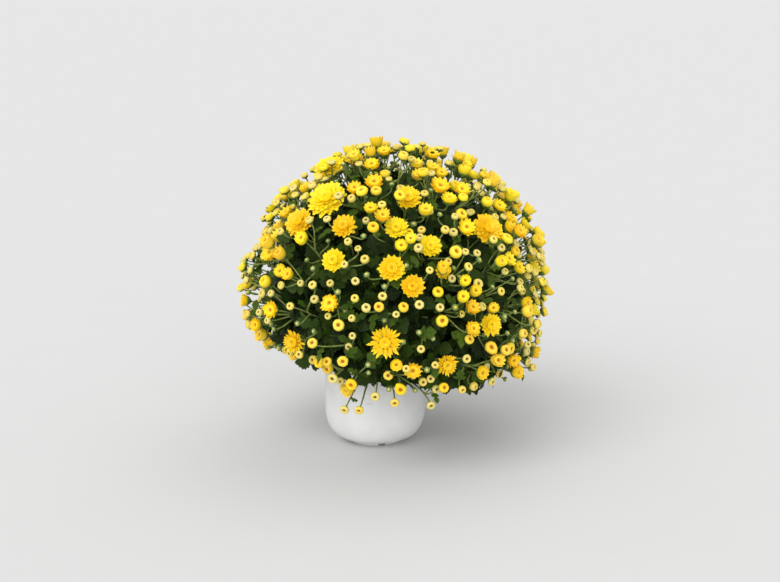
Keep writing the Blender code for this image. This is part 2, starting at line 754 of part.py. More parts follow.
class BloomMesh:
    """Builds a bloom as one closed skin: a small hub whose sides run out into petals."""

    def __init__(self):
        self.points = []
        self.faces = []

    def add(self, points):
        """Adds points and gives their indices."""
        first = len(self.points)
        self.points += points
        return list(range(first, len(self.points)))

    def spike(self, root, tip):
        """A pointed petal on a three-sided root."""
        end = self.add([tip])[0]
        self.faces += [(root[k], root[(k + 1) % 3], end) for k in range(3)]

    def petal(self, root, turn, rise, length, width):
        """A broad petal on a four-sided root: upper left, upper right, lower right, lower left."""
        middle = sum((self.points[i] for i in root), Vector()) / 4
        out = sloping(turn, rise)
        across = Vector((-math.sin(turn), math.cos(turn), 0.0))
        waist = middle + out * length * PETAL_WAIST
        half = across * width / 2
        keel = waist - out.cross(across) * PETAL_KEEL
        left, right, keel, tip = self.add([waist + half, waist - half, keel, middle + out * length])
        upper_left, upper_right, lower_right, lower_left = root
        self.faces += [
            (upper_left, left, right),
            (upper_left, right, upper_right),
            (upper_left, lower_left, keel),
            (upper_left, keel, left),
            (upper_right, right, keel),
            (upper_right, keel, lower_right),
            (lower_left, lower_right, keel),
            (left, tip, right),
            (left, keel, tip),
            (right, tip, keel),
        ]


def open_bloom(width, kind):
    """An open bloom: an outer layer of broad petals, and layers of pointed ones that stand steeper."""
    made = BloomMesh()
    count, hub = kind.petals, HUB * width
    base = made.add(level_ring(count, CALYX_RADIUS, 0.0))
    lower = made.add(level_ring(count, hub, LAYER_DEPTH))
    length = (width / 2 - hub) / math.cos(kind.rise)
    broad = PETAL_FILL * math.tau * (hub + PETAL_WAIST * (width / 2 - hub)) / count
    for k in range(count):
        after = (k + 1) % count
        root = (lower[after], lower[k], base[k], base[after])
        made.petal(root, math.tau * (k + 0.5) / count, kind.rise, length, broad)
    for layer in range(kind.layers):
        inside, spread = LAYER_TAPER
        radius = hub * (inside + spread * (1 - (layer + 1) / (kind.layers + 1)))
        upper = made.add(level_ring(count, radius, LAYER_DEPTH * (layer + 2), 0.5 * (layer + 1)))
        steep = kind.rise + (STEEPEST - kind.rise) * (layer + 1) / (kind.layers + 0.6)
        reach = width * (INNER_PETAL - INNER_PETAL_STEP * layer)
        for k in range(count):
            after = (k + 1) % count
            foot = (made.points[lower[k]] + made.points[lower[after]]) / 2
            tip = foot + sloping(math.tau * (k + 0.5 + 0.5 * layer) / count, steep) * reach
            made.spike((lower[k], lower[after], upper[k]), tip)
            made.faces.append((lower[after], upper[after], upper[k]))
        lower = upper
    made.faces += [tuple(lower), tuple(reversed(base))]
    return made


def cup_bloom(width):
    """A half-open bloom: a deep cup whose rim runs up into pointed petals."""
    made = BloomMesh()
    radius, rim = width / 2, CUP_RIM * width
    base = made.add(level_ring(CUP_PETALS, CALYX_RADIUS, 0.0))
    outer = made.add(level_ring(CUP_PETALS, radius, rim))
    tips = made.add(level_ring(CUP_PETALS, CUP_CLOSE * radius, CUP_TIP * width, 0.5))
    inner = made.add(level_ring(CUP_PETALS, radius - CUP_WALL, rim + CUP_WALL))
    floor = made.add([Vector((0.0, 0.0, CUP_FLOOR * width))])[0]
    for k in range(CUP_PETALS):
        after = (k + 1) % CUP_PETALS
        made.faces += [
            (base[k], base[after], outer[after], outer[k]),
            (outer[k], outer[after], tips[k]),
            (inner[after], inner[k], tips[k]),
            (outer[after], inner[after], tips[k]),
            (inner[k], outer[k], tips[k]),
            (inner[k], inner[after], floor),
        ]
    made.faces.append(tuple(reversed(base)))
    return made


def make_bloom(index, bloom, finish):
    """A bloom of its kind by width, seated on its calyx."""
    kind = next((kind for kind in OPEN_KINDS if bloom.width >= kind.width), None)
    made = open_bloom(bloom.width, kind) if kind else cup_bloom(bloom.width)
    body = new_object(f"bloom_{index + 1:02d}", made.points, made.faces, [finish])
    body.location = bloom.base
    body.rotation_euler = bloom.facing.to_track_quat("Z", "Y").to_euler()
    skin = bmesh.new()
    skin.from_mesh(body.data)
    bmesh.ops.recalc_face_normals(skin, faces=skin.faces)
    skin.to_mesh(body.data)
    skin.free()
    return body


def main():
    """Clears the scene and builds the pot, the mix, the shoots and the blooms."""
    for old in list(bpy.data.objects):
        bpy.data.objects.remove(old)
    white = material("white_plastic", (0.78, 0.79, 0.77), 0.42)
    peat = material("potting_mix", (0.045, 0.028, 0.018), 0.95)
    green = material("leaf_green", (0.055, 0.13, 0.025), 0.6)
    yellow = material("petal_yellow", (0.95, 0.66, 0.02), 0.55)
    draw = random.Random(SEED)
    blooms = facing_front(FRONT_BLOOMS)
    cups = facing_front(FRONT_CUPS)
    blooms += rear_blooms(blooms + cups, draw)
    spread_apart(blooms + cups)
    buds = scattered_buds(blooms + cups, draw)
    make_pot(white)
    make_soil(peat)
    for shoot in range(len(SHOOT_AIMS)):
        make_shoot(shoot, blooms, cups + buds, [green, yellow], draw)
    for index, bloom in enumerate(blooms):
        make_bloom(index, bloom, yellow)


main()
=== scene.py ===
"""The looks of a pot chrysanthemum: a dome of yellow heads on leafy shoots, in a white bowl pot.

Metres, +Z up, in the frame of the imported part, whose front faces -Y. The heads, stalks and leaves of the
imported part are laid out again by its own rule, so that each finer piece stands where its solid does. The
many small heads, leaves and stalks that the solids leave out are added round them.
"""

import logging
from collections.abc import Iterable, Iterator
from dataclasses import dataclass, field
from enum import Enum
from functools import cached_property
from itertools import accumulate
from math import asin, atan2, cos, degrees, hypot, pi, radians, sin, sqrt, tau
from random import Random

import bmesh
import bpy
import numpy as np
from bpy.types import Material, NodeSocket, Object
from mathutils import Matrix, Vector
from mathutils.bvhtree import BVHTree
from numpy.random import Generator


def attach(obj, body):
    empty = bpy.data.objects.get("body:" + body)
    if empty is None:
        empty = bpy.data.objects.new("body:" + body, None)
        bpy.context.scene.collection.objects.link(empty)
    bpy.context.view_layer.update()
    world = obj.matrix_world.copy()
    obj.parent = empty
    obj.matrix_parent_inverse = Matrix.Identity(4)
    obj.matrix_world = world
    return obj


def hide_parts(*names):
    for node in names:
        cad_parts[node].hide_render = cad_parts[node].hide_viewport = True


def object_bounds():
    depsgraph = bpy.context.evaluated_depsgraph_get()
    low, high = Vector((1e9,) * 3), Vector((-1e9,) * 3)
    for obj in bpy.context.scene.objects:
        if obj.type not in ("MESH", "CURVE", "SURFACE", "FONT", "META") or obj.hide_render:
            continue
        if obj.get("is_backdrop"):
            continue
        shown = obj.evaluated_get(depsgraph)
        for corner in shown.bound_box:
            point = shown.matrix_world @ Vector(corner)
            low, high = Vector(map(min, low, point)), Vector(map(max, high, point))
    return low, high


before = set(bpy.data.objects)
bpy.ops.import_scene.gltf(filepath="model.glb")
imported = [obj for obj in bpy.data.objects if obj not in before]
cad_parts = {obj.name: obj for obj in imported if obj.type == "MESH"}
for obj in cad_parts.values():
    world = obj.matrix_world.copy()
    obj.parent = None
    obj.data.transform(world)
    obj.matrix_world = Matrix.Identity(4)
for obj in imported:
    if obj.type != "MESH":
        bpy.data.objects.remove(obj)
CAD_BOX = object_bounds()
LOG = logging.getLogger("chrysanthemum")

MM = 0.001
UP = Vector((0.0, 0.0, 1.0))
SIDEWAYS = Vector((1.0, 0.0, 0.0))
TOUCH = 0.3 * MM
CALYX_DEPTH = 6 * MM
BUD_CALYX = 0.10
STEEP = 0.9
PLAIN = (0.5, 0.0, 0.0)
GOLDEN_TURN = pi * (3 - sqrt(5))
NO_CORNER = -1
Face = tuple[int, ...]
Range = tuple[float, float]
Rings = list[Range]
Triple = tuple[float, float, float]
Colour = Triple

# The heads that face the front: across and up from the middle of the dome, and their width, in mm
FRONT_BLOOMS = (
    (-105, 214, 50), (-105, 151, 58), (-137, 113, 44), (-70, 102, 36), (-101, 70, 34),
    (-192, 72, 30), (-34, 179, 28), (-70, 168, 25), (-62, 222, 28), (-8, 238, 24),
    (-34, 211, 26), (37, 240, 26), (60, 234, 24), (22, 155, 38), (73, 174, 30),
    (107, 170, 27), (118, 219, 28), (6, 114, 33), (61, 91, 33), (112, 109, 28),
    (149, 100, 48), (170, 146, 24), (189, 168, 26), (-1, 45, 38), (-190, -18, 26),
    (-155, -67, 36), (-96, -6, 26), (-218, -42, 24), (-11, -69, 48), (27, 20, 33),
    (150, -40, 33), (24, -106, 27), (82, -101, 34), (189, -98, 25),
)  # fmt: skip
FRONT_CUPS = (
    (-35, 137, 19), (-141, 85, 22), (-168, 134, 21), (-200, 148, 20), (-139, 175, 21),
    (62, 205, 21), (10, 86, 20), (205, 146, 20), (222, 118, 21), (185, 128, 21),
    (-234, 24, 20), (-240, -4, 20), (-161, 37, 19), (136, -114, 21), (8, -98, 19),
    (178, 61, 20), (195, 48, 20), (208, -8, 22), (-64, -131, 18), (11, -138, 18), (-93, -122, 16),
    (-76, -173, 14), (-53, -173, 14), (-28, -150, 14), (2, -160, 14), (58, -165, 14),
)  # fmt: skip
# How far heads and leaves reach from the middle, seen from the front: degrees from the top, and mm
HEAD_REACH = (
    (0, 256), (40, 254), (60, 267), (72, 253), (115, 258), (128, 218),
    (158, 160), (192, 149), (207, 171), (218, 152), (234, 168), (258, 236),
    (270, 251), (284, 250), (294, 226), (306, 258), (320, 244), (360, 256),
)  # fmt: skip
LEAF_REACH = (
    (0, 225), (115, 230), (126, 228), (138, 206), (150, 165), (160, 150), (195, 148), (208, 176),
    (220, 150), (240, 185), (255, 210), (275, 208), (310, 208), (360, 225),
)  # fmt: skip
REAR_BLOOM_WIDTHS = (50, 34, 28, 44, 26, 36, 30, 48, 26, 33, 28, 40, 25, 34)


class Slot(Enum):
    """The material slots."""

    POT = "pot"
    POTTING_MIX = "potting_mix"
    FOLIAGE = "foliage"
    PETALS = "petals"


class Stage(Enum):
    """How far a head has opened, with the least width that it has then."""

    GREEN = 0.0
    RING = 10.5 * MM
    CUP = 17.5 * MM
    HALF_OPEN = 30.5 * MM
    DOUBLE = 43 * MM


def aim_of(azimuth: float, latitude: float) -> Vector:
    """Gives the direction at an angle round from the front, turning to the right, and one above level."""
    level = cos(latitude)
    return Vector((level * sin(azimuth), -level * cos(azimuth), sin(latitude)))


def polar(axis: Vector, angle: float, turn: float) -> Vector:
    """Gives a direction at an angle from an axis.

    Args:
        axis: Unit vector to measure from.
        angle: Angle from the axis.
        turn: How far it is turned round the axis.

    Returns:
        A unit vector.
    """
    side = axis.cross(UP).normalized()
    other = axis.cross(side)
    return axis * cos(angle) + (side * cos(turn) + other * sin(turn)) * sin(angle)


@dataclass(frozen=True)
class Dome:
    """The dome of heads, and the cone round its middle that each shoot keeps to."""

    centre: Vector = field(default_factory=lambda: Vector((29 * MM, 0.0, 233 * MM)))
    radius: float = 251 * MM
    bloom_reach: float = 236 * MM
    lowest: float = radians(-27)
    front_rise: float = radians(12)
    lift: float = 0.16
    seen_from: float = 2.18
    turn_step: float = 0.02
    upper_shoots: int = 3
    upper_latitude: float = radians(55)
    upper_turn: float = radians(60)
    side_shoots: int = 6
    side_latitude: float = radians(3)

    @property
    def near(self) -> Vector:
        """The direction that the photo was taken from."""
        return aim_of(0.0, self.front_rise)

    @cached_property
    def aims(self) -> list[Vector]:
        """The middle direction of each shoot's cone."""
        step = tau / self.upper_shoots
        upper = [aim_of(self.upper_turn + k * step, self.upper_latitude) for k in range(self.upper_shoots)]
        side = [aim_of(k * tau / self.side_shoots, self.side_latitude) for k in range(self.side_shoots)]
        return upper + side

    def shoot_of(self, aim: Vector) -> int:
        """Gives the index of the shoot whose cone holds a direction."""
        return max(range(len(self.aims)), key=lambda k: aim.dot(self.aims[k]))

    def wall_distance(self, point: Vector, shoot: int) -> float:
        """Gives how far inside its shoot's cone a point is."""
        out = point - self.centre
        mine = self.aims[shoot]
        others = (a for k, a in enumerate(self.aims) if k != shoot)
        return min(out.dot((mine - other).normalized()) for other in others)

    def keep_inside(self, aim: Vector, reach: float, room: float) -> Vector:
        """Turns a direction to its shoot's middle until it stands clear of the cone's walls.

        Args:
            aim: The direction.
            reach: How far out the head sits.
            room: How far from the walls it has to be.

        Returns:
            The turned direction.
        """
        shoot = self.shoot_of(aim)
        while self.wall_distance(self.centre + aim * reach, shoot) < room:
            aim = (aim + (self.aims[shoot] - aim) * self.turn_step).normalized()
        return aim

    def spare(self, point: Vector, outline: tuple[tuple[int, int], ...]) -> float:
        """Gives how far inside an outline a point is, seen from the front.

        Args:
            point: The point.
            outline: Its corners, each as degrees from the top and millimetres from the middle.

        Returns:
            The distance, negative outside.
        """
        out = point - self.centre
        larger = self.seen_from / (self.seen_from - out.dot(self.near))
        high = (out.z * cos(self.front_rise) + out.y * sin(self.front_rise)) * larger
        across = out.x * larger
        turns, reaches = zip(*outline)
        limit = np.interp(degrees(atan2(across, high)) % 360, turns, reaches) * MM
        return float(limit) - hypot(across, high)

    def random_aim(self, draw: Random) -> Vector:
        """Gives an even random direction over the dome."""
        low = sin(self.lowest)
        return aim_of(draw.uniform(0, tau), asin(draw.uniform(low, 1.0)))


DOME = Dome()


@dataclass
class Head:
    """A bloom, cup or bud: its direction, distance and width, and how ripe, leaning and tall it is."""

    aim: Vector
    reach: float
    width: float
    ripe: float = 1.0
    tilt: Vector = field(default_factory=Vector)
    tall: float = 1.0

    @property
    def base(self) -> Vector:
        """The middle of the head's underside."""
        return DOME.centre + self.aim * self.reach

    @property
    def facing(self) -> Vector:
        """The way it looks: outwards, turned a little up to the light."""
        return (self.aim + UP * DOME.lift + self.tilt).normalized()

    @property
    def stage(self) -> Stage:
        """How far it has opened: the last stage whose least width it has."""
        return [stage for stage in Stage if self.width >= stage.value][-1]

    @property
    def calyx_depth(self) -> float:
        """From the head's base down to where its stalk begins."""
        return BUD_CALYX * self.width if self.width < Stage.CUP.value else CALYX_DEPTH


@dataclass
class LeafSpot:
    """Where a leaf is rooted, how it lies, how long it is, and from 0 to 1 how young it is."""

    root: Vector
    along: Vector
    normal: Vector
    length: float = 1.0
    young: float = 0.0

    @classmethod
    def lying(cls, root: Vector, along: Vector, light: Vector) -> "LeafSpot":
        """Gives a leaf of length one whose top faces a light as nearly as its direction allows."""
        along = along.normalized()
        return cls(root, along, (light - along * light.dot(along)).normalized())

    @classmethod
    def off_stalk(cls, root: Vector, stalk: Vector, turn: float, rise: float) -> "LeafSpot":
        """Gives a leaf of length one that leaves a stalk, turned round it and rising along it."""
        return cls.lying(root, polar(stalk, pi / 2, turn) + stalk * rise, stalk)

    def sized(self, length: float, young: float = 0.0) -> "LeafSpot":
        """Gives the leaf with a length and an age."""
        return LeafSpot(self.root, self.along, self.normal, length, young)


@dataclass
class SolidRules:
    """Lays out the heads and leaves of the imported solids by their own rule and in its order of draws."""

    seed: int = 11
    rear_edge: float = 0.12
    rear_room: float = 44 * MM
    front_room: float = 12 * MM
    rear_tries: int = 400
    edge_share: float = 0.995
    spread_rounds: int = 60
    spread_push: float = 0.3
    head_room: float = 3 * MM
    wall_room: float = 1.5 * MM
    bud_reach: Range = (226 * MM, 246 * MM)
    bud_widths: Range = (10 * MM, 16 * MM)
    bud_count: int = 84
    bud_choices: int = 14
    stalk_radius: float = 1.6 * MM
    stalk_sides: int = 3
    calyx_radius: float = 4.6 * MM
    bud_sides: int = 6
    bud_opening: float = 0.28
    bud_top: float = 0.42
    canopy_radius: float = 188 * MM
    canopy_lowest: float = 139 * MM
    canopy_wall_gap: float = 1.5 * MM
    sink: float = 10 * MM
    root_pull: float = 0.2
    root_room: float = 19 * MM
    root_step: float = 0.04
    leaves_per_shoot: int = 9
    leaf_spread: float = 0.93
    leaf_length: float = 58 * MM
    stalk_leaf_length: float = 38 * MM
    stalk_leaf_at: float = 0.52
    stalk_leaf_rise: Range = (0.3, 0.9)
    stalk_leaf_sizes: Range = (0.8, 1.1)
    leaf_rib: float = 2.2 * MM
    leaf_arch: float = 0.16
    leaf_middle: float = 0.46
    leaf_sway: float = 1.2
    leaf_rise: Range = (0.45, 1.0)
    leaf_level: float = 0.8
    leaf_sag: float = 0.25
    leaf_light: float = 0.4
    leaf_sizes: Range = (0.8, 1.05)
    leaf_shares: Range = (0.8, 1.0)
    leaf_turn: float = 0.1
    leaf_attempts: int = 24
    bloom_room: Range = (2.0 * MM, 2.5 * MM)
    leaf_outline: tuple[Range, ...] = ((0.36, 0.37), (0.51, 0.15), (0.76, 0.25))
    blooms: list[Head] = field(default_factory=list)
    cups: list[Head] = field(default_factory=list)
    buds: list[Head] = field(default_factory=list)
    leaves: list[list[LeafSpot]] = field(default_factory=list)

    def lay_out(self) -> None:
        """Places the blooms, cups, buds and leaves."""
        draw = Random(self.seed)
        self.blooms = self.facing_front(FRONT_BLOOMS)
        self.cups = self.facing_front(FRONT_CUPS)
        self.blooms += self.rear_blooms(self.blooms + self.cups, draw)
        self.spread_apart(self.blooms + self.cups)
        self.buds = self.scattered_buds(self.blooms + self.cups, draw)
        self.leaves = [self.shoot_leaves(shoot, draw) for shoot in range(len(DOME.aims))]

    def facing_front(self, rows: Iterable[tuple[int, int, int]]) -> list[Head]:
        """Makes heads from places across and up the front of the dome.

        Args:
            rows: Across, up and width, in millimetres.

        Returns:
            The heads, in the order of the rows.
        """
        up = Vector((0.0, sin(DOME.front_rise), cos(DOME.front_rise)))
        heads = []
        for across, high, width in rows:
            flat = (SIDEWAYS * across + up * high) * MM
            flat *= min(1.0, self.edge_share * DOME.radius / flat.length)
            depth = sqrt(DOME.radius**2 - flat.length_squared)
            heads.append(Head((flat + DOME.near * depth).normalized(), DOME.bloom_reach, width * MM))
        return heads

    @staticmethod
    def has_room(aim: Vector, width: float, heads: list[Head], room: float) -> bool:
        """Says whether a head of this width would stand clear of the others."""
        return all((aim - h.aim).length * DOME.bloom_reach > (width + h.width) / 2 + room for h in heads)

    def rear_blooms(self, heads: list[Head], draw: Random) -> list[Head]:
        """Places blooms for the sides and back by lot.

        Args:
            heads: Those that are there already.
            draw: Where the lots come from.

        Returns:
            The new blooms.
        """
        placed: list[Head] = []
        for width in (width * MM for width in REAR_BLOOM_WIDTHS):
            for _ in range(self.rear_tries):
                aim = DOME.random_aim(draw)
                apart = self.has_room(aim, width, placed, self.rear_room)
                apart = apart and self.has_room(aim, width, heads, self.front_room)
                if aim.y > self.rear_edge and apart:
                    placed.append(Head(aim, DOME.bloom_reach, width))
                    break
        return placed

    def spread_apart(self, heads: list[Head]) -> None:
        """Turns heads that touch away from each other, and keeps each off the walls of its cone.

        Args:
            heads: The heads, whose directions change.
        """
        for _ in range(self.spread_rounds):
            for i, a in enumerate(heads):
                for b in heads[i + 1 :]:
                    gap = (a.aim - b.aim).length * DOME.bloom_reach
                    need = (a.width + b.width) / 2 + self.head_room
                    if gap < need:
                        push = (a.aim - b.aim).normalized() * (need - gap)
                        push = push / DOME.bloom_reach * self.spread_push
                        a.aim = (a.aim + push).normalized()
                        b.aim = (b.aim - push).normalized()
            for head in heads:
                head.aim = DOME.keep_inside(head.aim, head.reach, self.wall_room + head.width / 2)

    @staticmethod
    def clearance(aim: Vector, heads: list[Head]) -> float:
        """Gives how far a direction stands from the rim of the nearest head."""
        return min((aim - head.aim).length * DOME.bloom_reach - head.width / 2 for head in heads)

    def scattered_buds(self, heads: list[Head], draw: Random) -> list[Head]:
        """Places buds over the whole dome, each at the roomiest of several random places.

        Args:
            heads: Those that are there already.
            draw: Where the places come from.

        Returns:
            The buds.
        """
        buds: list[Head] = []
        for _ in range(self.bud_count):
            width, reach = draw.uniform(*self.bud_widths), draw.uniform(*self.bud_reach)
            room = self.wall_room + width / 2
            places = [DOME.keep_inside(DOME.random_aim(draw), reach, room) for _ in range(self.bud_choices)]
            aim = max(places, key=lambda place: self.clearance(place, heads + buds))
            buds.append(Head(aim, reach, width))
        return buds

    def rim_distance(self, aim: Vector, shoot: int) -> float:
        """Gives how far inside the rim of a shoot's canopy a direction passes."""
        point = DOME.centre + aim * self.canopy_radius
        return min(DOME.wall_distance(point, shoot) - self.canopy_wall_gap, point.z - self.canopy_lowest)

    def root_of(self, head: Head) -> Vector:
        """Gives where a head's stalk starts inside the canopy: nearer the shoot's middle than the head."""
        shoot = DOME.shoot_of(head.aim)
        aim = head.aim.lerp(DOME.aims[shoot], self.root_pull).normalized()
        while self.rim_distance(aim, shoot) < self.root_room:
            aim = aim.lerp(DOME.aims[shoot], self.root_step).normalized()
        return DOME.centre + aim * (self.canopy_radius - self.sink)

    def canopy_reach(self, shoot: int, turn: float) -> float:
        """Gives how far the canopy reaches from the shoot's middle to its cone's wall, as an angle."""
        angle, step = 0.0, radians(1)
        while self.rim_distance(polar(DOME.aims[shoot], angle + step, turn), shoot) > 0:
            angle += step
        return angle

    @staticmethod
    def ring(centre: Vector, axis: Vector, radius: float, sides: int, near: Vector) -> tuple[list, Vector]:
        """Gives points round a centre, square to an axis, and the side where they start."""
        side = (near - axis * near.dot(axis)).normalized()
        other = axis.cross(side)
        angles = (tau * k / sides for k in range(sides))
        return [centre + (side * cos(a) + other * sin(a)) * radius for a in angles], side

    def stalk(self, head: Head, closed: bool) -> BVHTree:
        """Gives the faces of the solid's stalk, to test leaves against.

        Args:
            head: The head on the stalk.
            closed: Whether it is a bud or cup that is part of the stalk's solid.

        Returns:
            The faces.
        """
        sides, wide = self.stalk_sides, self.bud_sides
        depth, top, radius = CALYX_DEPTH, -TOUCH, self.calyx_radius
        if closed:
            depth, top, radius = BUD_CALYX * head.width, self.bud_opening * head.width, head.width / 2
        foot = self.root_of(head)
        neck = head.base - head.facing * depth
        root, near = self.ring(foot, (neck - foot).normalized(), self.stalk_radius, sides, SIDEWAYS)
        throat, near = self.ring(neck, head.facing, self.stalk_radius, sides, near)
        opening, near = self.ring(head.base + head.facing * top, head.facing, radius, wide, near)
        points = root + throat + opening
        start = 2 * sides
        faces = [tuple(reversed(range(sides)))] + quads(2, sides)
        for k in range(sides):
            here, after, first = sides + k, sides + (k + 1) % sides, start + 2 * k
            middle, last = first + 1, start + (2 * k + 2) % wide
            faces += [(middle, first, here), (after, middle, here), (last, middle, after)]
        if closed:
            points.append(head.base + head.facing * self.bud_top * head.width)
            faces += [(start + k, start + (k + 1) % wide, start + wide) for k in range(wide)]
        else:
            faces.append(tuple(range(start, start + wide)))
        return BVHTree.FromPolygons(points, faces)

    def leaf_points(self, spot: LeafSpot) -> list[Vector]:
        """Gives the solid leaf's outline, and the top and underside of its rib.

        Args:
            spot: Where the leaf is and how it lies.

        Returns:
            The outline's points from the root round, and then the rib's two.
        """
        across = spot.normal.cross(spot.along).normalized()

        def place(x: float, y: float, lift: float = 0.0) -> Vector:
            """Gives a point of the leaf from shares of its length."""
            level = spot.root + spot.along * x * spot.length + across * y * spot.length
            return level + spot.normal * (lift - self.leaf_arch * x * x * spot.length)

        left = [place(x, y) for x, y in self.leaf_outline]
        right = [place(x, -y) for x, y in reversed(self.leaf_outline)]
        ribs = [place(self.leaf_middle, 0.0, side * self.leaf_rib / 2) for side in (1, -1)]
        return [spot.root] + left + [place(1.0, 0.0)] + right + ribs

    @staticmethod
    def leaf_surface(points: list[Vector]) -> BVHTree:
        """Gives the faces of a solid leaf."""
        count = len(points) - 2
        underside = [(count + 1, k, (k + 1) % count) for k in range(count)]
        top = [((k + 1) % count, k, count) for k in range(count)]
        return BVHTree.FromPolygons(points, top + underside)

    def clear_of_blooms(self, points: list[Vector], blooms: list[Head]) -> bool:
        """Says whether a blade keeps under or beside every bloom.

        Args:
            points: The blade's points in order.
            blooms: The blooms.

        Returns:
            Whether it does.
        """
        beside, below = self.bloom_room
        spots = [a.lerp(b, t) for a, b in zip(points, points[1:]) for t in (0.0, 0.5)]
        for bloom in blooms:
            base, facing = bloom.base, bloom.facing
            if (points[0] - base).length > 2 * self.leaf_length + bloom.width:
                continue
            for out in (spot - base for spot in spots):
                height = out.dot(facing)
                off_axis = (out - facing * height).length
                if height > -below and off_axis < bloom.width / 2 + beside:
                    return False
        return True

    def stalk_leaf(self, head: Head, draw: Random) -> LeafSpot:
        """Gives a leaf of length one that leaves a head's stalk below it."""
        foot = self.root_of(head)
        neck = head.base - head.facing * CALYX_DEPTH
        turn, rise = draw.uniform(0, tau), draw.uniform(*self.stalk_leaf_rise)
        return LeafSpot.off_stalk(foot.lerp(neck, self.stalk_leaf_at), (neck - foot).normalized(), turn, rise)

    def place_leaf(self, spots: Iterable[LeafSpot], shoot: int, taken: list[BVHTree]) -> list[LeafSpot]:
        """Keeps the first leaf that crosses no wall, bloom, stalk or leaf, or none.

        Args:
            spots: Places to try.
            shoot: The shoot that it grows on.
            taken: Faces of the stalks and leaves that are there, to which it is added.

        Returns:
            The leaf, alone in a list, or an empty list.
        """
        for spot in spots:
            points = self.leaf_points(spot)
            if min(DOME.wall_distance(p, shoot) for p in points) < self.wall_room:
                continue
            surface = self.leaf_surface(points)
            if self.clear_of_blooms(points, self.blooms) and not any(surface.overlap(t) for t in taken):
                taken.append(surface)
                return [spot]
        return []

    def canopy_spots(self, shoot: int, number: int, draw: Random) -> Iterator[LeafSpot]:
        """Yields places for a canopy leaf near its own turn of a spiral round the shoot's middle.

        Args:
            shoot: The shoot.
            number: The leaf's number, larger by the canopy's rim.
            draw: Where its size and directions come from.

        Returns:
            The places, one after the other.
        """
        length = self.leaf_length * draw.uniform(*self.leaf_sizes)
        share = self.leaf_spread * sqrt((number + 0.5) / self.leaves_per_shoot)
        for attempt in range(self.leaf_attempts):
            turn = number * GOLDEN_TURN + shoot + self.leaf_turn * attempt
            off = self.canopy_reach(shoot, turn) * (share * draw.uniform(*self.leaf_shares))
            aim = polar(DOME.aims[shoot], off, turn)
            level = polar(aim, pi / 2, draw.uniform(-self.leaf_sway, self.leaf_sway) - pi / 2)
            along = aim * draw.uniform(*self.leaf_rise) + level * self.leaf_level - UP * self.leaf_sag
            root = DOME.centre + aim * (self.canopy_radius - self.sink)
            yield LeafSpot.lying(root, along, aim + UP * self.leaf_light).sized(length)

    def shoot_leaves(self, shoot: int, draw: Random) -> list[LeafSpot]:
        """Places a shoot's leaves: those on its canopy, and one on the stalk of each of its blooms.

        Args:
            shoot: The shoot.
            draw: Where their directions and sizes come from.

        Returns:
            The leaves.
        """
        mine = [b for b in self.blooms if DOME.shoot_of(b.aim) == shoot]
        closed = [h for h in self.cups + self.buds if DOME.shoot_of(h.aim) == shoot]
        taken = [self.stalk(b, closed=False) for b in mine] + [self.stalk(h, closed=True) for h in closed]
        made: list[LeafSpot] = []
        for number in range(self.leaves_per_shoot):
            made += self.place_leaf(self.canopy_spots(shoot, number, draw), shoot, taken)
        for number, bloom in enumerate(mine):
            length = self.stalk_leaf_length * draw.uniform(*self.stalk_leaf_sizes)
            spots = (self.stalk_leaf(bloom, draw).sized(length) for _ in range(self.leaf_attempts))
            others = taken[:number] + taken[number + 1 :]
            before = len(others)
            made += self.place_leaf(spots, shoot, others)
            taken += others[before:]
        return made


@dataclass
class Sheaf:
    """Gathers many small shapes in one mesh, each with its finish and with values that the finishes read."""

    name: str
    finishes: list[Material]
    rows: list[tuple[np.ndarray, ...]] = field(default_factory=list)
    count: int = 0

    def add(self, shape: "Shape", number: int = 0, head: Triple = PLAIN) -> None:
        """Adds a shape.

        Args:
            shape: Its points, faces and blade values.
            number: The number of its finish.
            head: Its tint, how ripe or young it is, and how near the eye it stands, from 0 to 1.
        """
        faces = np.where(shape.faces == NO_CORNER, NO_CORNER, shape.faces + self.count)
        values = np.tile(head, (len(shape.points), 1))
        if shape.core is not None:
            values[:, 2] = shape.core
        self.rows.append((shape.points, faces, np.full(len(faces), number), shape.blade, values))
        self.count += len(shape.points)

    def build(self, sharp: float = 62.0) -> Object:
        """Makes the piece.

        Args:
            sharp: Edges that turn by more degrees than this stay crisp.

        Returns:
            The object, linked to the scene.
        """
        points, faces, numbers, blades, heads = (np.concatenate(column) for column in zip(*self.rows))
        used = faces != NO_CORNER
        corners = faces[used]
        mesh = bpy.data.meshes.new(self.name)
        mesh.vertices.add(self.count)
        mesh.vertices.foreach_set("co", points.astype(np.float32).ravel())
        mesh.loops.add(len(corners))
        mesh.loops.foreach_set("vertex_index", corners.astype(np.int32))
        mesh.polygons.add(len(faces))
        starts = np.concatenate(([0], np.cumsum(used.sum(axis=1))[:-1]))
        mesh.polygons.foreach_set("loop_start", starts.astype(np.int32))
        mesh.polygons.foreach_set("material_index", numbers.astype(np.int32))
        mesh.update(calc_edges=True)
        for finish in self.finishes:
            mesh.materials.append(finish)
        for name, values in (("blade", blades), ("head", heads)):
            layer = mesh.attributes.new(name, "FLOAT_VECTOR", "POINT")
            layer.data.foreach_set("vector", values.astype(np.float32).ravel())
        mesh.shade_smooth()
        mesh.set_sharp_from_angle(angle=radians(sharp))
        made = bpy.data.objects.new(self.name, mesh)
        bpy.context.scene.collection.objects.link(made)
        return made


@dataclass
class Shape:
    """Points, faces of up to four corners, and for each point how far along and across its blade it is.

    The third blade value is the side: 1 on top, 0 underneath and 0.5 on the edge. The core values say how
    near the eye of its head each point stands, where that differs from point to point.
    """

    points: np.ndarray
    faces: np.ndarray
    blade: np.ndarray
    core: np.ndarray | None = None

    def moved(self, matrix: np.ndarray, place: np.ndarray) -> "Shape":
        """Gives the shape turned by a matrix and carried to a place."""
        return Shape(self.points @ matrix.T + place, self.faces, self.blade, self.core)


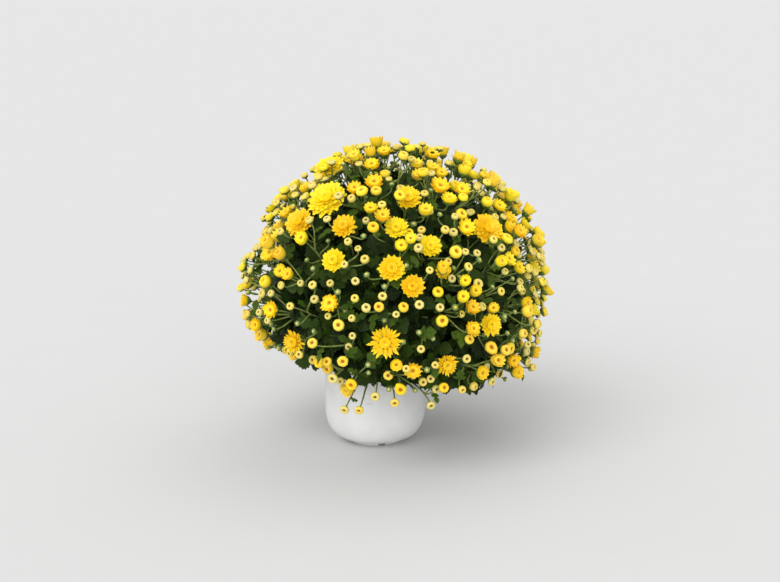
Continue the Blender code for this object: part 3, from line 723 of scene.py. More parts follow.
def unit(vectors: np.ndarray) -> np.ndarray:
    """Gives vectors of length one."""
    return vectors / np.linalg.norm(vectors, axis=-1, keepdims=True)


def quads(rings: int, sides: int) -> list[Face]:
    """Gives the faces between rings of points."""
    around = [(k, (k + 1) % sides) for k in range(sides)]
    starts = [(r * sides, (r + 1) * sides) for r in range(rings - 1)]
    return [(a + k, a + after, b + after, b + k) for a, b in starts for k, after in around]


def ringed(rings: list[np.ndarray], across: np.ndarray) -> Shape:
    """Makes a shape from rings of points, closed by fans of triangles over both ends.

    Args:
        rings: The rings in order.
        across: How far across its blade each point of a ring is.

    Returns:
        The shape.
    """
    count, sides = len(rings), len(across)
    faces = quads(count, sides)
    last = (count - 1) * sides
    for k in range(1, sides - 1):
        faces.append((0, k + 1, k, NO_CORNER))
        faces.append((last, last + k, last + k + 1, NO_CORNER))
    along = np.repeat(np.linspace(0.0, 1.0, count), sides)
    blade = np.stack((along, np.tile(across, count), np.ones_like(along)), axis=1)
    return Shape(np.concatenate(rings), np.array(faces), blade)


def tube(path: np.ndarray, radii: np.ndarray, sides: int) -> Shape:
    """Makes a closed round bar along a path.

    Args:
        path: Points of its middle line.
        radii: Its radius at each point.
        sides: Points of a ring.

    Returns:
        The bar.
    """
    tangents = unit(np.gradient(path, axis=0))
    near = np.array(UP if abs(tangents[0][2]) < STEEP else SIDEWAYS)
    angles = np.linspace(0.0, tau, sides, endpoint=False)
    rings = []
    for centre, tangent, radius in zip(path, tangents, radii):
        near = unit(near - tangent * (near @ tangent))
        other = np.cross(tangent, near)
        rings.append(centre + radius * (np.outer(np.cos(angles), near) + np.outer(np.sin(angles), other)))
    return ringed(rings, np.linspace(-1.0, 1.0, sides, endpoint=False))


def bezier(a: np.ndarray, b: np.ndarray, c: np.ndarray, d: np.ndarray, steps: int) -> np.ndarray:
    """Gives points along a smooth curve from a to d."""
    t = np.linspace(0.0, 1.0, steps + 1)[:, None]
    s = 1.0 - t
    return a * s**3 + b * 3 * s * s * t + c * 3 * s * t * t + d * t**3


def turned(profile: Rings, sides: int, scallop: Rings | None = None) -> Shape:
    """Makes a closed turned shape on the Z axis.

    Args:
        profile: Radius and height of each ring, from below the axis upwards.
        sides: Points of a ring.
        scallop: For each ring, how much every second point is moved out and up.

    Returns:
        The shape, whose two ends are closed by fans.
    """
    angles = np.linspace(0.0, tau, sides, endpoint=False)
    second = np.arange(sides) % 2
    rings = []
    for number, (radius, height) in enumerate(profile):
        out, up = scallop[number] if scallop else (0.0, 0.0)
        reach = radius + out * second
        rings.append(np.stack((reach * np.cos(angles), reach * np.sin(angles), height + up * second), axis=1))
    return ringed(rings, np.where(second == 1, 0.0, 1.0))


@dataclass(frozen=True)
class Layer:
    """A ring of petals, in shares of the head's width."""

    count: int  # how many petals there are
    start: Range  # where they are rooted, out from the axis and up
    spread: float  # how far out they reach
    broad: float  # the width of a petal
    rise: float  # how steeply they leave the root, in degrees
    curl: float  # how much they curve inwards by their tips, in degrees
    core: float = 0.0  # how near the eye they stand, from 0 to 1
    hollow: float = 0.12  # how much their edges stand up
    blunt: float = 0.12  # how wide their tips are
    rings: int = 6  # rings of points along a petal, each of SECTION points

    SECTION = 4
    THICK = 0.016
    TAPER = (1.2, 0.7)
    CURL_POWER = 1.25
    RISE_SPREAD = 0.09
    TURN_SPREAD = 0.10
    SWAY = 0.12
    LENGTHS = (0.88, 1.06)
    SHORTENING = 0.4

    def profile(self, slim: float) -> np.ndarray:
        """Gives a petal's width at each ring, as a share of its greatest."""
        shares, blunt = np.linspace(0.0, 1.0, self.rings), self.blunt * slim
        return np.interp(shares, (0.0, 0.3, 0.6, 0.85, 1.0), (0.45, 0.85, 1.0, 0.66 + blunt, blunt))

    def faces(self) -> np.ndarray:
        """Gives the faces of all the petals."""
        last = (self.rings - 1) * self.SECTION
        petal = quads(self.rings, self.SECTION) + [(3, 2, 1, 0), (last, last + 1, last + 2, last + 3)]
        step = self.rings * self.SECTION
        return np.concatenate([np.array(petal) + k * step for k in range(self.count)])

    def petals(self, width: float, offset: float, slim: float, lean: float, draw: Generator) -> Shape:
        """Makes the petals, thin blades with a channel along their middle.

        Args:
            width: The head's width.
            offset: How far the ring is turned, as a share of the space between petals.
            slim: How narrow and pointed the petals are, as a share of the usual width.
            lean: How much longer the petals are on one side.
            draw: Where the small differences come from.

        Returns:
            The petals round the Z axis.
        """
        shares = np.linspace(0.0, 1.0, self.rings)
        rise = radians(self.rise) + draw.normal(0.0, self.RISE_SPREAD, self.count)
        theta = rise[:, None] + radians(self.curl) * shares**self.CURL_POWER
        middle = (theta[:, 1:] + theta[:, :-1]) / 2
        step = 1.0 / (self.rings - 1)
        start = np.zeros((self.count, 1))
        out = np.concatenate((start, np.cumsum(np.cos(middle), axis=1)), axis=1) * step
        up = np.concatenate((start, np.cumsum(np.sin(middle), axis=1)), axis=1) * step
        turns = np.arange(self.count) + offset + draw.normal(0.0, self.TURN_SPREAD, self.count)
        turns = tau * turns / self.count
        shortest, longest = self.LENGTHS
        uneven = draw.uniform(shortest * slim**self.SHORTENING, longest, self.count)
        length = (self.spread - self.start[0]) / out.max(axis=1).mean()
        length = length * uneven * (1.0 + lean * np.cos(turns))
        radius = (self.start[0] + out * length[:, None])[..., None] * width
        height = (self.start[1] + up * length[:, None])[..., None] * width
        radial = np.stack((np.cos(turns), np.sin(turns), np.zeros(self.count)), axis=1)[:, None, :]
        across = np.stack((-np.sin(turns), np.cos(turns), np.zeros(self.count)), axis=1)[:, None, :]
        upward = np.array(UP)
        top = -np.sin(theta)[..., None] * radial + np.cos(theta)[..., None] * upward
        centre = radius * radial + height * upward
        half = self.broad / 2 * width * slim * self.profile(slim)
        half = half[None, :, None] * np.ones((self.count, 1, 1))
        sway = draw.normal(0.0, self.SWAY, self.count)[:, None, None] * half * shares[None, :, None]
        edge = top * half * self.hollow
        thick = self.THICK * width * (self.TAPER[0] - self.TAPER[1] * shares)[None, :, None]
        rim = (centre + across * (half + sway) + edge, centre + across * sway)
        rim += (centre - across * (half - sway) + edge, centre + across * sway - top * thick)
        points = np.stack(rim, axis=2).reshape(-1, 3)
        along = np.tile(np.repeat(shares, self.SECTION), self.count)
        side = np.tile((0.5, 1.0, 0.5, 0.0), self.rings * self.count)
        wide = np.tile((1.0, 0.0, -1.0, 0.0), self.rings * self.count)
        return Shape(points, self.faces(), np.stack((along, wide, side), axis=1))


PETAL_LAYERS: dict[Stage, tuple[Layer, ...]] = {
    Stage.GREEN: (),
    Stage.RING: (),
    Stage.CUP: (Layer(12, (0.24, 0.08), 0.52, 0.20, 30, 22, hollow=0.2, blunt=0.14, rings=4),),
    Stage.HALF_OPEN: (
        Layer(14, (0.13, 0.02), 0.54, 0.185, 8, 18, hollow=0.14, blunt=0.16),
        Layer(14, (0.13, 0.04), 0.49, 0.175, 15, 20, hollow=0.14, blunt=0.16),
        Layer(12, (0.12, 0.055), 0.41, 0.165, 23, 24, hollow=0.14, rings=5, blunt=0.16),
        Layer(10, (0.10, 0.07), 0.30, 0.135, 34, 30, hollow=0.14, rings=5),
    ),
    Stage.DOUBLE: (
        Layer(19, (0.10, 0.025), 0.54, 0.145, -2, 10, blunt=0.34),
        Layer(19, (0.10, 0.035), 0.505, 0.145, 3, 12, blunt=0.34),
        Layer(18, (0.10, 0.045), 0.445, 0.140, 8, 14, blunt=0.32),
        Layer(17, (0.09, 0.055), 0.380, 0.130, 14, 16, blunt=0.30, rings=5),
        Layer(15, (0.08, 0.07), 0.305, 0.120, 22, 18, blunt=0.25, rings=5),
        Layer(13, (0.06, 0.085), 0.225, 0.095, 32, 26, core=0.04, rings=4),
    ),
}


@dataclass(frozen=True)
class Form:
    """How a turned body differs from the plain one."""

    width: float  # how wide it is
    flare: float = 0.0  # how far its tips bend outwards, as a share of its width
    eye: float = 1.0  # how strongly its eye shows, from 0 to 1
    pear: float = 0.0  # how much it is drawn out on one side
    tall: float = 1.0  # how tall it is, as a share of the usual height


@dataclass(frozen=True)
class Turning:
    """A turned body of a head, in shares of its width."""

    sides: int  # points of a ring, two to a petal
    # For each ring its radius and height, how far every second point stands out and up, and how near the
    # eye it is, from 0 to 1
    rings: tuple[tuple[float, ...], ...]

    FREE = 0.6  # how far along their blade the finish takes the points to be that are away from the eye
    TIP = 0.05  # rings whose second points stand up by more than this are petal tips
    ROUGH = 0.006
    SQUEEZE = 1.6

    def shape(self, form: Form, draw: Generator) -> Shape:
        """Makes the body.

        Args:
            form: How it differs from the plain one.
            draw: Where the small differences come from.

        Returns:
            The body round the Z axis.
        """
        width = form.width
        profile = [(radius * width, height * width) for radius, height, *_ in self.rings]
        bends = [form.flare if up > self.TIP else 0.0 for *_, up, _ in self.rings]
        steps = [((out + bend) * width, up * width) for (*_, out, up, _), bend in zip(self.rings, bends)]
        made = turned(profile, self.sides, steps)
        made.points += draw.normal(0.0, self.ROUGH * width, made.points.shape)
        drawn = np.maximum(0.0, made.points[:, 0] / width)
        made.points[:, 0] += form.pear * drawn * width
        made.points[:, 1] *= 1.0 - self.SQUEEZE * form.pear * drawn
        made.points[:, 2] *= form.tall
        core = np.repeat([ring[-1] for ring in self.rings], self.sides)
        made.blade[:, 0] = self.FREE * (1.0 - core)
        made.core = form.eye * core
        return made


# A bud like a doughnut, with creases between its petals and an orange hole
PLUMP = Turning(14, (
    (0.1, -0.02, 0, 0, 0), (0.36, 0.03, 0, 0, 0), (0.48, 0.15, -0.012, 0, 0), (0.5, 0.28, -0.018, 0, 0),
    (0.45, 0.41, -0.02, 0, 0), (0.345, 0.475, -0.012, -0.02, 0), (0.23, 0.455, 0, -0.02, 0.04),
    (0.155, 0.38, 0.01, 0, 0.35), (0.12, 0.28, 0, 0, 1),
))  # fmt: skip
# A cup whose petals end in a rim of points, round a mound with an orange dimple
TOOTHED = Turning(20, (
    (0.1, -0.02, 0, 0, 0), (0.29, 0.04, 0, 0, 0), (0.41, 0.16, -0.01, 0, 0), (0.455, 0.3, -0.012, 0, 0),
    (0.455, 0.4, 0.02, 0.14, 0), (0.425, 0.385, 0.03, 0.13, 0), (0.37, 0.34, 0, 0.02, 0.12),
    (0.33, 0.4, 0.03, 0.06, 0), (0.26, 0.415, 0, 0, 0.05), (0.17, 0.42, 0.01, 0.03, 0.05),
    (0.1, 0.36, 0, 0, 0.6), (0.04, 0.31, 0, 0, 1),
))  # fmt: skip
# The close inner petals of an open bloom, seen as a mound with a dimple
MOUND = Turning(18, (
    (0.1, 0.05, 0, 0, 0), (0.17, 0.14, 0.01, 0.03, 0.05), (0.155, 0.2, 0.01, 0.05, 0.05),
    (0.12, 0.205, 0, 0, 0.15), (0.095, 0.235, 0.01, 0.04, 0.08), (0.06, 0.225, 0, 0, 0.5),
    (0.025, 0.19, 0, 0, 1),
))  # fmt: skip
# How wide an open bloom's mound is made, and how strongly its eye shows
MOUND_SIZES = {Stage.HALF_OPEN: (1.25, 0.6), Stage.DOUBLE: (1.0, 0.25)}
# The rings of a bud's calyx above its throat, out and up, in shares of the bud's width
BUD_CALYXES = {
    Stage.GREEN: ((0.34, 0.0), (0.48, 0.16), (0.47, 0.42), (0.25, 0.56)),
    Stage.RING: ((0.26, -0.03), (0.42, 0.05), (0.49, 0.15), (0.3, 0.1)),
}
CALYX_WIDTHS = {Stage.CUP: 0.37, Stage.HALF_OPEN: 0.25, Stage.DOUBLE: 0.19}


@dataclass
class HeadMaker:
    """Makes heads: a green calyx of pointed bracts, and petals round an eye."""

    seed: int = 5
    sides: int = 10
    eye_sides: int = 8
    plump_share: float = 0.5  # how many of the cups up to plump_width are still closed like a bud
    plump_width: float = 19.5 * MM
    opening: float = 23 * MM  # from this width on a cup has a ring of open petals
    open_body: float = 0.8  # how wide the body of such a cup is, as a share of the cup
    flares: Range = (-0.05, 0.10)
    pears: Range = (-0.10, 0.42)  # how much a cup is drawn out on one side, and a ring by ring_pear of that
    ring_pear: float = 0.2
    most_lean: float = 0.10  # how much longer the petals of a half open bloom may be on one side
    # Heads that sit lower than this, as the sine of the angle, have less tint and slim petals
    low: float = -0.03
    low_tint: float = 0.4
    slim: float = 0.55
    petal_finish: int = 0
    calyx_finish: int = 1

    def __post_init__(self) -> None:
        """Starts the draws."""
        self.draw = np.random.default_rng(self.seed)

    def calyx(self, head: Head) -> Shape:
        """Makes the green cup under a head, whose rim is cut in bract tips.

        Args:
            head: The head.

        Returns:
            The cup round the Z axis.
        """
        w, depth = head.width, head.calyx_depth
        throat = (1.0 if head.stage is Stage.GREEN else 1.5) * MM
        if head.stage in BUD_CALYXES:
            rings = [(throat, -depth)] + [(out * w, up * w) for out, up in BUD_CALYXES[head.stage]]
            return turned(rings, self.sides, self.bracts(0.02 * w, 0.10 * w))
        wide = CALYX_WIDTHS[head.stage] * w
        rings = [(throat, -depth), (0.55 * wide, -0.66 * depth), (0.9 * wide, -0.2 * depth), (wide, 0.06 * w)]
        return turned(rings + [(0.4 * wide, 0.04 * w)], self.sides, self.bracts(0.10 * wide, 0.07 * w))

    @staticmethod
    def bracts(out: float, up: float) -> Rings:
        """Gives how far the bract tips stand out from a calyx of five rings."""
        return [(0.0, 0.0), (0.0, 0.0), (0.5 * out, 0.0), (out, up), (0.0, 0.0)]

    def green_tip(self, head: Head) -> Shape:
        """Makes the pale petal tips that show above the bracts of a green bud."""
        w = head.width
        rings = [(0.20 * w, 0.42 * w), (0.34 * w, 0.50 * w), (0.20 * w, 0.57 * w), (0.05 * w, 0.60 * w)]
        made = turned(rings, self.eye_sides)
        made.blade[:, 0] = Turning.FREE
        return made

    def body(self, head: Head) -> Shape:
        """Makes the turned body of a head.

        Args:
            head: The head.

        Returns:
            The body round the Z axis.
        """
        pear = max(0.0, self.draw.uniform(*self.pears))
        if head.stage is Stage.GREEN:
            return self.green_tip(head)
        if head.stage is Stage.RING:
            return PLUMP.shape(Form(head.width, pear=self.ring_pear * pear, tall=head.tall), self.draw)
        if head.stage is Stage.CUP:
            plump = head.width < self.plump_width and self.draw.uniform() < self.plump_share
            flare = 0.0 if plump else self.draw.uniform(*self.flares)
            width = head.width * (1.0 if head.width < self.opening else self.open_body)
            return (PLUMP if plump else TOOTHED).shape(Form(width, flare, 1.0, pear, head.tall), self.draw)
        size, eye = MOUND_SIZES[head.stage]
        return MOUND.shape(Form(head.width * size, eye=eye), self.draw)

    def layers(self, head: Head) -> tuple[Layer, ...]:
        """Gives the rings of petals of a head: none if it is closed, and fewer for a low double bloom."""
        if head.width <= self.opening:
            return ()
        fewer = head.stage is Stage.DOUBLE and head.aim.z < self.low
        return PETAL_LAYERS[Stage.HALF_OPEN if fewer else head.stage]

    def add(self, head: Head, sheaf: Sheaf) -> None:
        """Adds a head to a piece.

        Args:
            head: Where it is, how wide and how ripe.
            sheaf: The piece.
        """
        matrix = np.array(head.facing.to_track_quat("Z", "Y").to_matrix())
        place = np.array(head.base)
        share, slim = (self.low_tint, self.slim) if head.aim.z < self.low else (1.0, 1.0)
        tint = self.draw.uniform() * share
        sheaf.add(self.calyx(head).moved(matrix, place), self.calyx_finish, (tint, head.ripe, 0.0))
        lean = self.draw.uniform(0.0, self.most_lean) if head.stage is Stage.HALF_OPEN else 0.0
        spin = matrix @ np.array(Matrix.Rotation(self.draw.uniform(0.0, tau), 3, "Z"))
        for number, layer in enumerate(self.layers(head), start=1):
            ring = layer.petals(head.width, 0.5 * number, slim, lean, self.draw)
            sheaf.add(ring.moved(spin, place), self.petal_finish, (tint, head.ripe, layer.core))
        sheaf.add(self.body(head).moved(spin, place), self.petal_finish, (tint, head.ripe, 0.0))


@dataclass
class LeafMaker:
    """Makes lobed, toothed leaves that fold a little along their rib and arch down to their tip."""

    # The left half's edge from stalk to tip, along and across, as shares of the length
    outline: tuple[Range, ...] = (
        (0.00, 0.014), (0.12, 0.018), (0.16, 0.075), (0.19, 0.17), (0.17, 0.255), (0.245, 0.265),
        (0.27, 0.325), (0.325, 0.315), (0.365, 0.385), (0.415, 0.335), (0.47, 0.285), (0.49, 0.19),
        (0.515, 0.125), (0.555, 0.165), (0.575, 0.235), (0.645, 0.215), (0.68, 0.285), (0.735, 0.235),
        (0.785, 0.26), (0.82, 0.185), (0.87, 0.175), (0.905, 0.10), (0.95, 0.075), (1.0, 0.0),
    )  # fmt: skip
    rib: tuple[float, ...] = (0.0, 0.14, 0.26, 0.38, 0.50, 0.62, 0.75, 0.88)
    fold: float = 0.24  # how much the halves stand up from the rib
    droop: float = 0.62  # how much the lobes bend down at their ends
    thick: float = 0.010  # half of the rib's thickness, as a share of the length
    # How much the blade undulates, and waves and wave_width how closely and how far from the rib
    wave: float = 0.012
    waves: float = 26.0
    wave_width: float = 0.3
    arch: float = 0.16  # how far the tip hangs below the root's line
    # How the points between rib and edge lie: along as a start and a share, and across as a share
    inner: Triple = (0.05, 0.9, 0.55)
    inner_lift: float = 0.6
    inner_side: float = 0.9
    arches: Range = (-0.6, 1.6)
    widths: Range = (-0.14, 0.08)
    twist: float = 0.22
    seed: int = 23

    def __post_init__(self) -> None:
        """Starts the draws and makes the two templates."""
        self.draw = np.random.default_rng(self.seed)
        self.plain = self.template(fine=False)
        self.fine = self.template(fine=True)

    def height(self, x: np.ndarray, y: np.ndarray) -> np.ndarray:
        """Gives how far the blade stands above its flat shape."""
        wave = self.wave * np.sin(self.waves * x) * np.abs(y) / self.wave_width
        return self.fold * np.abs(y) - self.droop * y * y + wave

    @staticmethod
    def zipped(a: list[int], b: list[int], spots: list[Triple]) -> list[Face]:
        """Gives triangles between the rib and the edge, which end at the same tip.

        Args:
            a: The rib's points in order.
            b: The edge's points in order.
            spots: Where each point is.

        Returns:
            The triangles, wound as the left half needs them.
        """
        reached = list(accumulate((spots[k][0] for k in b), max))
        faces, i, j = [], 0, 0
        while i < len(a) - 1 or j < len(b) - 1:
            if j == len(b) - 1 or (i < len(a) - 1 and spots[a[i + 1]][0] <= reached[j + 1]):
                faces.append((a[i], a[i + 1], b[j]))
                i += 1
            else:
                faces.append((a[i], b[j + 1], b[j]))
                j += 1
        return [face for face in faces if len(set(face)) == 3]

    def template(self, fine: bool) -> Shape:
        """Makes a leaf of length one: along X, across Y and facing Z.

        Args:
            fine: Whether its top has a second row of points between the rib and the edge.

        Returns:
            The leaf before its arch.
        """
        spots: list[Triple] = []
        side: list[float] = []

        def row(places: Iterable[Range], lift: float, value: float) -> list[int]:
            """Adds points and gives their numbers."""
            first = len(spots)
            spots.extend((x, y, lift) for x, y in places)
            side.extend([value] * (len(spots) - first))
            return list(range(first, len(spots)))

        upper = row([(x, 0.0) for x in self.rib], self.thick, 1.0)
        lower = row([(x, 0.0) for x in self.rib], -self.thick, 0.0)
        tip = row([(1.0, 0.0)], 0.0, 0.5)
        begin, along, across = self.inner
        faces: list[Face] = []
        rims = []
        for sign in (1, -1):
            rim = row([(x, sign * y) for x, y in self.outline[:-1]], 0.0, 0.5) + tip
            inner = rim
            if fine:
                middle = [(begin + along * x, sign * across * y) for x, y in self.outline[1:-1]]
                inner = rim[:1] + row(middle, self.inner_lift * self.thick, self.inner_side) + tip
                strip = [(inner[k], inner[k + 1], rim[k + 1], rim[k]) for k in range(len(rim) - 1)]
                faces += [tuple(dict.fromkeys(face))[::sign] for face in strip]
            faces += [face[::sign] for face in self.zipped(upper + tip, inner, spots)]
            faces += [face[::-sign] for face in self.zipped(lower + tip, rim, spots)]
            rims.append(rim)
        faces.append((upper[0], rims[0][0], lower[0], rims[1][0]))
        flat = np.array(spots)
        flat[:, 2] += self.height(flat[:, 0], flat[:, 1])
        blade = np.stack((flat[:, 0], flat[:, 1], np.array(side)), axis=1)
        padded = [face + (NO_CORNER,) * (4 - len(face)) for face in faces]
        return Shape(flat, np.array(padded), blade)

    def add(self, spot: LeafSpot, sheaf: Sheaf, fine: bool, loose: float = 0.0) -> None:
        """Adds a leaf to a piece.

        Args:
            spot: Where it is and how it lies.
            sheaf: The piece.
            fine: Whether it is made with more points.
            loose: How much its arch and width may differ from the plain leaf.
        """
        flat = self.fine if fine else self.plain
        x, y, z = flat.points.T
        arch = self.arch * (1.0 + loose * self.draw.uniform(*self.arches))
        wide = 1.0 + loose * self.draw.uniform(*self.widths)
        twist = loose * self.draw.normal(0.0, self.twist)
        points = np.stack((x, y * wide, z - arch * x * x + twist * x * y), axis=1) * spot.length
        across = spot.normal.cross(spot.along).normalized()
        turn = np.array((spot.along, across, spot.normal))
        leaf = Shape(points @ turn + np.array(spot.root), flat.faces, flat.blade)
        sheaf.add(leaf, head=(self.draw.uniform(), spot.young, 0.0))


@dataclass(frozen=True)
class SmallKind:
    """A kind of small head: how wide, how ripe and how far out it is, how common, and how sun-loving."""

    widths: Range
    ripeness: Range
    reach: Range
    share: float
    sunny: float


@dataclass
class SmallHeads:
    """The buds and cups that the solids leave out, scattered by lot and thinnest where the leaves show."""

    seed: int = 31
    count: int = 850
    choices: int = 3  # from how many places by lot each takes the roomiest
    thinnest: float = 0.66  # how thick they stand where they are thinnest, from 0 to 1
    thin_side: Vector = field(default_factory=lambda: aim_of(radians(-17), 0.0))
    thick_side: Vector = field(default_factory=lambda: Vector((0.66, 0.0, 0.75)))
    thick_gain: float = 0.66  # how much thinner they stand on the other side
    margin: float = 5 * MM  # how far past the solids' box a head may stand out sideways
    pull: float = 2 * MM
    closeness: float = 0.86  # how near two heads may be, as a share of the sum of their radii
    least_reach: float = 190 * MM  # how near the middle a head that is pulled in may sit
    lift: Range = (-0.05, 0.55)
    sway: float = 0.16
    tall: Range = (1.05, 1.6)
    # How much riper than the last each of the solids' rings is, starting anew past ripest
    ripe_step: float = 0.29
    ripest: float = 0.7
    kinds: tuple[SmallKind, ...] = (
        SmallKind((7.5 * MM, 10 * MM), (0.0, 0.4), (206 * MM, 246 * MM), 0.27, 0.0),
        SmallKind((10.6 * MM, 14 * MM), (0.0, 0.5), (216 * MM, 256 * MM), 0.47, 0.0),
        SmallKind((14 * MM, 17.4 * MM), (0.6, 1.0), (220 * MM, 258 * MM), 0.11, 1.4),
        SmallKind((17.5 * MM, 25 * MM), (0.8, 1.0), (224 * MM, 260 * MM), 0.095, 3.2),
    )

    def thickness(self, aim: Vector) -> float:
        """Gives how thick the heads stand in a direction, from 0 to 1."""
        facing = max(0.0, aim.dot(self.thin_side))
        level = 1.0 - (1.0 - self.thinnest) * facing**2
        return level * (1.0 - self.thick_gain * (0.5 - 0.5 * aim.dot(self.thick_side)))

    def places(self, draw: Random) -> Iterator[Vector]:
        """Yields random directions, fewer where the heads stand thin."""
        while True:
            aim = DOME.random_aim(draw)
            if draw.random() < self.thickness(aim):
                yield aim

    @staticmethod
    def roomiest(aims: list[Vector], taken: list[Head]) -> Vector:
        """Gives the one of some directions that stands furthest from the nearest head."""
        return max(aims, key=lambda aim: -max(aim.dot(head.aim) for head in taken))

    def fit(self, head: Head) -> bool:
        """Pulls a head in until it is inside the plant's outline.

        Args:
            head: The head, whose reach changes.

        Returns:
            Whether it is still far enough out to show.
        """
        low, high = CAD_BOX[0][0] - self.margin, CAD_BOX[1][0] + self.margin
        half = head.width / 2
        while not low < head.base.x - half < head.base.x + half < high:
            head.reach -= self.pull
        while DOME.spare(head.base, HEAD_REACH) < half:
            head.reach -= self.pull
        return head.reach > self.least_reach

    def ripen(self, rules: SolidRules) -> None:
        """Fits the solids' own buds in the outline, and makes those like rings more or less ripe by turns."""
        for bud in rules.buds:
            self.fit(bud)
        rings = [head for head in rules.cups + rules.buds if head.stage is Stage.RING]
        for number, head in enumerate(rings):
            head.ripe = (number * self.ripe_step) % self.ripest

    def lay_out(self, rules: SolidRules) -> list[Head]:
        """Places them all.

        Args:
            rules: The layout of the solid heads.

        Returns:
            The small heads.
        """
        draw = Random(self.seed)
        solid = rules.blooms + rules.cups + rules.buds
        taken = list(solid)
        places = self.places(draw)
        for _ in range(self.count):
            aim = self.roomiest([next(places) for _ in range(self.choices)], taken)
            sun = max(0.0, aim.dot(self.thick_side))
            kind = draw.choices(self.kinds, [kind.share * (1 + kind.sunny * sun) for kind in self.kinds])[0]
            width = draw.uniform(*kind.widths)
            tilt = Vector((draw.gauss(0.0, self.sway), draw.gauss(0.0, self.sway), draw.uniform(*self.lift)))
            ripe, tall = draw.uniform(*kind.ripeness), draw.uniform(*self.tall)
            head = Head(aim, draw.uniform(*kind.reach), width, ripe, tilt, tall)
            if self.fit(head) and all(self.apart(head, other) for other in taken):
                taken.append(head)
        return taken[len(solid) :]

    def apart(self, head: Head, other: Head) -> bool:
        """Says whether two heads don't press into each other."""
        return (other.base - head.base).length > self.closeness * (other.width + head.width) / 2


@dataclass
class Stalks:
    """The thin stalks that carry the heads: the solid ones' own, and lighter ones that fork from them."""

    seed: int = 17
    sides: int = 5
    steps: int = 7
    # How far apart, as an angle, a small head and the stalk that it forks from may be
    fork_angle: float = 0.20
    fork_share: Range = (0.22, 0.62)
    bend: float = 0.38  # how long the curve's two ends run straight, as a share of the stalk
    foot: Vector = field(default_factory=lambda: Vector((0.0, 0.0, 0.13)))
    radial: float = 0.3  # how much a stalk points straight out, and upward how much it points up
    upward: Range = (-0.1, 0.35)
    overlap: float = 0.4 * MM
    lengths: Range = (62 * MM, 88 * MM)
    thick: Range = (1.6 * MM, 1.15 * MM)
    thin: Range = (1.3 * MM, 1.1 * MM)

    def __post_init__(self) -> None:
        """Starts the draws."""
        self.draw = Random(self.seed)
        self.paths: list[tuple[Head, np.ndarray]] = []

    def path(self, root: Vector, start: Vector, head: Head) -> np.ndarray:
        """Gives the middle line of a stalk.

        Args:
            root: Where it starts.
            start: The direction that it starts in.
            head: The head at its end.

        Returns:
            Its points.
        """
        neck = head.base - head.facing * (head.calyx_depth - self.overlap)
        reach = (neck - root).length * self.bend
        ends = [np.array(p) for p in (root, root + start * reach, neck - head.facing * reach, neck)]
        return bezier(*ends, self.steps)

    def own(self, head: Head) -> np.ndarray:
        """Gives the stalk of a head that grows straight from a shoot, away from the plant's foot."""
        away = (head.base - self.foot).normalized().lerp(head.aim, self.radial).normalized()
        start = (away + UP * self.draw.uniform(*self.upward)).normalized()
        made = self.path(head.base - away * self.draw.uniform(*self.lengths), start, head)
        self.paths.append((head, made))
        return made

    def forked(self, head: Head) -> np.ndarray:
        """Gives a small head's stalk, from the nearest thick stalk or from its own root.

        Args:
            head: The small head.

        Returns:
            The stalk's middle line.
        """
        owner, line = max(self.paths, key=lambda pair: pair[0].aim.dot(head.aim))
        if owner.aim.angle(head.aim) > self.fork_angle:
            return self.own(head)
        number = round(self.draw.uniform(*self.fork_share) * self.steps)
        start = Vector(line[number + 1] - line[number]).normalized()
        return self.path(Vector(line[number]), start, head)


